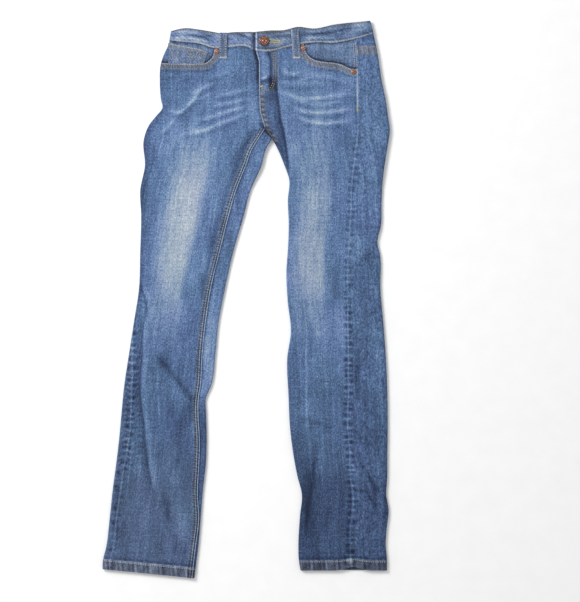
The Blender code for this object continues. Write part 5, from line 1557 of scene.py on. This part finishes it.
def waist_path(line, shift, x_from, x_to):
    return [(x, float(line(x)) + shift) for x in np.linspace(x_from, x_to, 24)]


def seam_path(line, shift, y_from, y_to, count):
    """Places down a seam, moved sideways."""
    return [(float(line(y)) + shift, y) for y in np.linspace(y_from, y_to, count)]


def sew_waist(tan, pale):
    """The waistband's two edges."""
    for x_from, x_to in ((-122, 13), (20, 208)):
        pale.run(waist_path(waist_seam, 2.0, x_from, x_to), band_face_z, 0.05)
        tan.run(waist_path(waist_top, -2.6, x_from, x_to), band_face_z, -0.1)


def band_face_z(x, y):
    low, high = waist_seam(x), waist_top(x)
    up = np.clip((y - low) / (high - low), 0, 1)
    dip = LAP_DIP * smooth_step((x - LAP_START + LAP_RAMP) / (LAP_RAMP - 2)) * (x < LAP_START)
    return base(y) + 2 * BAND_ROLL - NARROW - dip - 0.5 * np.abs(2 * up - 1) ** 5 + band_relief(x, y, up)


def sew_pockets(tan, pale, yellow):
    """Double rows below the pockets' edges, and along the yoke that shows."""
    for mouth, sign in ((RIGHT_MOUTH, -1), (LEFT_MOUTH, 1)):
        points = smooth_curve(mouth, 4.0)[0]
        points = points[(points[:, 0] > right_edge(405) + 1.5) & (points[:, 0] < 188)]
        inner, outer = beside(points, sign * 1.7), beside(points, sign * 8.8)
        outer = outer[outer[:, 1] < 427]
        pale.run(inner)
        tan.run(outer, proud=-0.2, size=0.85)
    for y in (434.0, 422.5):
        tan.run([(193.5, y), (206, y - 0.3), (222, y)])
    for shift, y_low in ((-1.4, 322.0), (-5.2, 398.0)):
        pale.run(seam_path(left_outseam, shift, 440, y_low, 20), proud=-0.1)
    for x, y in seam_path(left_outseam, -0.6, *TACK_SPAN, TACK_STITCHES):
        yellow.tack(x, y, 1, 0.1, 0.95, 0.3)


def sew_fly(tan, pale, yellow):
    """The fly's edge down to the crotch, its curved double row, its bar and the dots on the seat seam."""
    for path in (FLY_CURVE, beside(FLY_CURVE, -3.4)):
        tan.run(path, proud=-0.3, size=0.8)
    tan.run(FLY_TURN, proud=-0.1)
    yellow.run(beside(FLY_TURN, -3.2), proud=-0.2, step=3.8)
    pale.run(seam_path(front_middle, 1.3, 423, 296, 40), proud=-0.05)
    tan.run(seam_path(front_middle, 5.8, 346, 300, 14), proud=-0.1, step=SEAM_DOT_PITCH / 2, size=0.7)
    for k in range(4):
        yellow.tack(27.0, 366.0 - k * 0.6, 1, 0.1 * (-1) ** k, 2.7, 0.3)
    for k in range(5):
        yellow.tack(27.8, 362.5 - k * 2.2, 0.1, 1, 0.7, 0.1)
    tan.run(seam_path(front_middle, 2.6, 292, 279, 6))


def sew_inseam(pale):
    """Rows on the felled seam down the right leg."""
    for shift, proud, size in ((-4.6, -0.3, 0.8), (0.6 - FELL_WIDTH, -0.45, 0.6)):
        pale.run(seam_path(crotch_inseam, shift, CROTCH_Y - 8, RIGHT_HEM_Y + 22, 90), proud=proud, size=size)


def sew_hems(tan, pale):
    for side in ("right", "left"):
        tube, hem_y, slope, _ = LEGS[side]
        row_y = hem_y + HEM_TOP - 3.0
        a, b = tube.edges(row_y)
        x = np.linspace(a + 2.0, b - 2.0, 60)
        y = leg_y(row_y, x, (a + b) / 2, slope, hem_y, 1.0 if side == "left" else 0.0)
        path = list(zip(x, y))
        pale.run(path, lambda x, y: top_z(x, y) + HEM_RAISE, size=0.9)
        tan.run_below(path[1:-1])


def sew_loops(tan, pale):
    """A row down each side of every loop, and close stitches across the front loops' lower ends."""
    for _, *ends in FRONT_LOOPS:
        rows = np.array(loop_path(*ends))
        for shift in (-LOOP_ROW, LOOP_ROW):
            path = [(x + shift, y) for x, y, _ in rows[1:-1]]
            pale.run(path, lambda x, y: np.interp(-y, -rows[:, 1], rows[:, 2]) + LOOP_CLOTH + 0.15)
        low_x, low_y, low_z = rows[-1]
        for k, x in enumerate(np.linspace(low_x - 5.6, low_x + 5.6, 24)):
            pale.add(x, low_y + 1.6 + 0.7 * (-1) ** (k + 1), low_z + LOOP_CLOTH + 0.25, 0.25, 1.0, 0.85)
    for _, x in BACK_LOOPS:
        for shift in (-LOOP_ROW, LOOP_ROW):
            tan.run_below([(x + shift, y) for y in np.linspace(*BACK_LOOP_SPAN, 12)], 0.3)


def sew_coin_pocket(tan, pale, yellow):
    """Two rows along its top, two down its side, and plain scattered ticks of thread."""
    for share, thread in ((0.93, yellow), (0.80, tan)):
        x, y, z = coin_place(np.linspace(0.02, 0.98, 16), np.full(16, share))
        thread.run(list(zip(x, y)), lambda px, py, x=x, z=z: np.interp(px, x, z) + COIN_CLOTH + 0.3)
    up = np.linspace(0.78, 0.06, 12)
    for across in (0.965, 0.93):
        x, y, z = coin_place(np.full(12, across), up)
        tan.run(list(zip(x, y)), lambda px, py, y=y, z=z: np.interp(-py, -y, z) + COIN_CLOTH + 0.1)
    threads = {"tan": tan, "pale": pale, "yellow": yellow}
    for number, (up, across_from, across_to, colour) in enumerate(COIN_TICKS):
        for k, across in enumerate(np.arange(across_from, across_to, COIN_TICK_PITCH)):
            x, y, z = (float(v) for v in coin_place(across, up + 0.03 * (-1) ** k))
            threads[colour].add(x, y, z + COIN_CLOTH + 0.25, 0.5 * (-1) ** (k + number), 1.0, 0.85)


def sew_buttonhole(yellow):
    """A keyhole of close stitches, beside the button."""
    start, end = np.array(BUTTONHOLE)
    way = (end - start) / np.hypot(*(end - start))
    side = np.array([-way[1], way[0]])
    for k in range(20):
        middle = start + (end - start) * k / 19
        open_by = 0.9 + 1.0 * max(0.0, 1 - k / 5)
        for sign in (-1, 1):
            x, y = middle + side * sign * (open_by + 0.9)
            yellow.tack(x, y, sign * side[0], sign * side[1], 0.75, 0.25, band_face_z)
    for turn in np.linspace(-1.2, 1.2, 7):
        out = way * math.cos(turn) + side * math.sin(turn)
        x, y = end + out * 1.9
        yellow.tack(x, y, out[0], out[1], 0.75, 0.25, band_face_z)


def sew_underside(tan):
    """Plain rows round the back pockets and along the yokes and the seat seam."""
    for _, middle, sign in POCKET_MIDDLES:
        corners = np.array(pocket_corners(middle, sign))
        way = np.array([middle, POCKET_CENTRE_Y]) - corners
        way = way / np.hypot(way[:, 0], way[:, 1])[:, None]
        for inset in (3.6, 10.8):
            ring = corners + inset * way
            for a, b in zip(ring, np.roll(ring, -1, axis=0)):
                tan.run_below([a, (a + b) / 2, b], 0.45)
    side_y, back_y = BACK_ROWS[YOKE_SEAM][1] + 0.5, BACK_ROWS[YOKE_SEAM][2]
    for shift in (2.5, 8.5):
        for ends, side_x in (((-128.0, BACK_MIDDLE_X - 2), -141), ((BACK_MIDDLE_X + 2, 216.0), 226)):
            rows = []
            for x in np.linspace(*ends, 14):
                share = (x - side_x) / (BACK_MIDDLE_X - side_x)
                rows.append((x, side_y + (back_y - side_y) * share + shift))
            tan.run_below(rows)
    for shift in (-3.0, 3.0):
        tan.run_below(seam_path(back_middle, shift, 425, 300, 30))


def build_stitches():
    tan, pale, yellow = Thread("stitches_tan"), Thread("stitches_pale"), Thread("stitches_yellow", 2.6, 0.7)
    sew_waist(tan, pale)
    sew_pockets(tan, pale, yellow)
    sew_fly(tan, pale, yellow)
    sew_inseam(pale)
    sew_hems(tan, pale)
    sew_loops(tan, pale)
    sew_coin_pocket(tan, pale, yellow)
    sew_buttonhole(yellow)
    sew_underside(tan)
    for thread, name in ((tan, "tan"), (pale, "pale"), (yellow, "yellow")):
        thread.build(thread_material("thread_" + name, *THREADS[name]))


# Metal


def turned_piece(name, node, place, size, profile, segments, material, relief=None):
    """A turned piece in its solid's place, from a profile in shares of its radius and height."""
    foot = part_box(node)[0][2] / MM
    turn = np.arange(segments) / segments * 2 * math.pi
    points = []
    for radius, height in np.array(profile) * size:
        x, y = place[0] + radius * np.cos(turn), place[1] + radius * np.sin(turn)
        extra = relief(radius, turn) if relief else 0.0 * turn
        points.append(np.stack([x, y, foot + height + extra], -1))
    faces = ring_faces(len(profile), segments)
    thing = mesh_piece(name, np.concatenate(points) * MM, faces, material, 40)
    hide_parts(node)


def build_metal():
    """The button, with short rays on its face, and the rivets."""
    def rays(radius, turn):
        return 0.16 * np.cos(turn * 10) * float(bell(radius / BUTTON_RADIUS - 0.55, 0.12))

    aged, worn = copper_material("aged_copper", *AGED_COPPER), copper_material("worn_copper", *WORN_COPPER)
    button_size, rivet_size = (BUTTON_RADIUS, BUTTON_HEIGHT), (RIVET_RADIUS, RIVET_HEIGHT)
    turned_piece("button_cap", "button", BUTTON_AT, button_size, BUTTON_PROFILE, 96, aged, rays)
    for name, *place in RIVETS:
        turned_piece("rivet_cap_" + name, "rivet_" + name, place, rivet_size, RIVET_PROFILE, 48, worn)


# Materials


def linear(colour):
    """A display colour, each part from 0 to 255, as the shader's linear values."""
    parts = [value / 255 for value in colour]
    return tuple(v / 12.92 if v <= 0.04045 else ((v + 0.055) / 1.055) ** 2.4 for v in parts) + (1.0,)


class Nodes:
    """Short calls for building a material's nodes."""

    def __init__(self, name):
        self.material = bpy.data.materials.new(name)
        self.material.use_nodes = True
        self.tree = self.material.node_tree
        self.shader = self.tree.nodes["Principled BSDF"]

    def add(self, kind, values=(), links=(), **settings):
        node = self.tree.nodes.new(kind)
        for key, value in settings.items():
            setattr(node, key, value)
        for key, value in dict(values).items():
            node.inputs[key].default_value = value
        for key, source in dict(links).items():
            self.tree.links.new(source, node.inputs[key])
        return node

    def math(self, operation, a, b):
        node = self.add("ShaderNodeMath", operation=operation)
        for slot, value in enumerate((a, b)):
            if isinstance(value, (int, float)):
                node.inputs[slot].default_value = value
            else:
                self.tree.links.new(value, node.inputs[slot])
        return node.outputs[0]

    def stretched(self, source, scale):
        node = self.add("ShaderNodeVectorMath", links={0: source}, operation="MULTIPLY")
        node.inputs[1].default_value = scale
        return node.outputs[0]

    def noise(self, source, scale, detail):
        node = self.add("ShaderNodeTexNoise", values={"Scale": 1.0, "Detail": detail, "Roughness": 0.55},
                        links={"Vector": self.stretched(source, scale)})
        return node.outputs["Fac"]

    def around(self, value, amount):
        """A noise turned into a change around zero."""
        return self.math("MULTIPLY", self.math("SUBTRACT", value, 0.5), amount)

    def sum(self, *values):
        total = values[0]
        for value in values[1:]:
            total = self.math("ADD", total, value)
        return total

    def ramp(self, value, stops):
        node = self.add("ShaderNodeValToRGB", links={"Fac": value})
        ramp = node.color_ramp
        while len(ramp.elements) < len(stops):
            ramp.elements.new(0.5)
        for element, (place, colour) in zip(ramp.elements, stops):
            element.position = place
            element.color = linear(colour)
        return node.outputs["Color"]

    def mixed(self, share, first, second, kind):
        node = self.add("ShaderNodeMix", data_type="RGBA", blend_type=kind)
        if isinstance(share, float):
            node.inputs["Factor"].default_value = share
        else:
            self.tree.links.new(share, node.inputs["Factor"])
        colours = [socket for socket in node.inputs if socket.type == "RGBA"]
        self.tree.links.new(first, colours[0])
        self.tree.links.new(second, colours[1])
        return [socket for socket in node.outputs if socket.type == "RGBA"][0]

    def bump(self, height, distance):
        values = {"Distance": distance, "Strength": 1.0}
        node = self.add("ShaderNodeBump", values=values, links={"Height": height})
        self.tree.links.new(node.outputs["Normal"], self.shader.inputs["Normal"])

    def set(self, **values):
        for key, value in values.items():
            self.shader.inputs[key.replace("_", " ")].default_value = value


def denim_material():
    """Washed twill: the dye level from the mesh, with its painted shade, broken up by slubs along the grain
    and by specks.
    """
    nodes = Nodes("washed_denim")
    cloth, level, grey = (
        nodes.add("ShaderNodeAttribute", attribute_name=name, attribute_type="GEOMETRY").outputs[output]
        for name, output in (("cloth", "Vector"), ("level", "Fac"), ("grey", "Fac"))
    )
    noise = {name: nodes.noise(cloth, *row) for name, row in CLOTH_NOISES.items()}
    bright_slubs = nodes.math("SUBTRACT", noise["long_slubs"], SLUB_START)
    bright_slubs = nodes.math("MULTIPLY", nodes.math("MAXIMUM", bright_slubs, 0.0), SLUB_SHARE)
    fine = nodes.sum(*(nodes.around(noise[name], share) for name, share in FINE_SHARES))
    calm = nodes.math("SUBTRACT", 1.0, nodes.math("MULTIPLY", grey, CALM_SHARE))
    broad = [nodes.around(noise[name], share) for name, share in BROAD_SHARES]
    value = nodes.sum(level, nodes.math("MULTIPLY", fine, calm), *broad, bright_slubs)
    colour = nodes.mixed(grey, nodes.ramp(value, DYE), nodes.ramp(value, GREY_DYE), "MIX")
    tint = nodes.ramp(noise["drift"], DRIFT_TINTS)
    nodes.tree.links.new(nodes.mixed(1.0, colour, tint, "MULTIPLY"), nodes.shader.inputs["Base Color"])
    twill = nodes.add("ShaderNodeTexWave", values={"Scale": 1.0, "Distortion": 0.6, "Detail": 1.0},
                      links={"Vector": nodes.stretched(cloth, TWILL_SCALE)},
                      wave_type="BANDS", bands_direction="DIAGONAL").outputs["Fac"]
    heights = [nodes.math("MULTIPLY", noise[name], share) for name, share in HEIGHT_SHARES]
    nodes.bump(nodes.sum(nodes.math("MULTIPLY", twill, TWILL_SHARE), *heights), CLOTH_BUMP)
    nodes.set(Roughness=0.86, Sheen_Weight=0.12, Sheen_Roughness=0.5, Specular_IOR_Level=0.25)
    return nodes.material


def thread_material(name, dark, light):
    nodes = Nodes(name)
    place = nodes.add("ShaderNodeTexCoord").outputs["Object"]
    tone = nodes.noise(place, (400.0, 400.0, 400.0), 2.0)
    nodes.tree.links.new(nodes.ramp(tone, ((0.3, dark), (0.7, light))), nodes.shader.inputs["Base Color"])
    nodes.bump(nodes.noise(place, (1800.0, 1800.0, 1800.0), 1.0), THREAD_BUMP)
    nodes.set(Roughness=0.7, Sheen_Weight=0.15)
    return nodes.material


def copper_material(name, dark, middle, light):
    """Aged copper, clouded with tarnish."""
    nodes = Nodes(name)
    place = nodes.add("ShaderNodeTexCoord").outputs["Object"]
    tarnish = nodes.noise(place, (500.0, 500.0, 500.0), 3.0)
    colour = nodes.ramp(tarnish, ((0.3, dark), (0.5, middle), (0.72, light)))
    nodes.tree.links.new(colour, nodes.shader.inputs["Base Color"])
    rough = nodes.add("ShaderNodeMapRange", values={"To Min": 0.3, "To Max": 0.5}, links={"Value": tarnish})
    nodes.tree.links.new(rough.outputs["Result"], nodes.shader.inputs["Roughness"])
    nodes.bump(nodes.noise(place, (1500.0, 1500.0, 1500.0), 2.0), COPPER_BUMP)
    nodes.set(Metallic=0.9)
    return nodes.material


# Floor, light and camera

def build_stage():
    """A plain pale floor, a large soft lamp to the upper left and an even pale surrounding."""
    mesh = bpy.data.meshes.new("floor")
    corners = [(x * FLOOR_REACH, y * FLOOR_REACH, 0) for x, y in ((-1, -1), (1, -1), (1, 1), (-1, 1))]
    mesh.from_pydata(corners, [], [(0, 1, 2, 3)])
    floor = bpy.data.objects.new("floor", mesh)
    bpy.context.collection.objects.link(floor)
    nodes = Nodes("pale_floor")
    place = nodes.add("ShaderNodeTexCoord").outputs["Object"]
    paper = nodes.noise(place, (30.0, 30.0, 30.0), 2.0)
    colour = nodes.ramp(paper, FLOOR_WHITES)
    nodes.tree.links.new(colour, nodes.shader.inputs["Base Color"])
    nodes.set(Roughness=0.9, Specular_IOR_Level=0.1)
    mesh.materials.append(nodes.material)
    world = bpy.data.worlds.new("pale_room")
    world.use_nodes = True
    background = world.node_tree.nodes["Background"]
    background.inputs["Color"].default_value = (1.0, 1.0, 1.0, 1.0)
    background.inputs["Strength"].default_value = ROOM_LIGHT
    bpy.context.scene.world = world
    lamp = bpy.data.lights.new("key", "AREA")
    lamp.shape, lamp.size, lamp.energy = "DISK", LAMP_WIDTH, LAMP_POWER
    key = bpy.data.objects.new("key", lamp)
    key.location = LAMP_PLACE
    key.rotation_euler = (-key.location).to_track_quat("-Z", "Y").to_euler()
    bpy.context.collection.objects.link(key)


def build_camera():
    camera = bpy.data.cameras.new("camera")
    camera.sensor_width = SENSOR
    camera.lens = SENSOR * CAMERA_HEIGHT / (PICTURE[1] * PIXEL * MM)
    thing = bpy.data.objects.new("camera", camera)
    thing.location = (PICTURE_MIDDLE[0] * MM, PICTURE_MIDDLE[1] * MM, CAMERA_HEIGHT)
    bpy.context.collection.objects.link(thing)
    bpy.context.scene.camera = thing
    bpy.context.scene.view_settings.view_transform = "Standard"


build_camera()
build_stage()
denim = denim_material()
for build in (build_fronts, build_backs, build_facings, build_band, build_loops, build_back_pockets,
              build_coin_pocket):
    build(denim)
build_stitches()
build_metal()
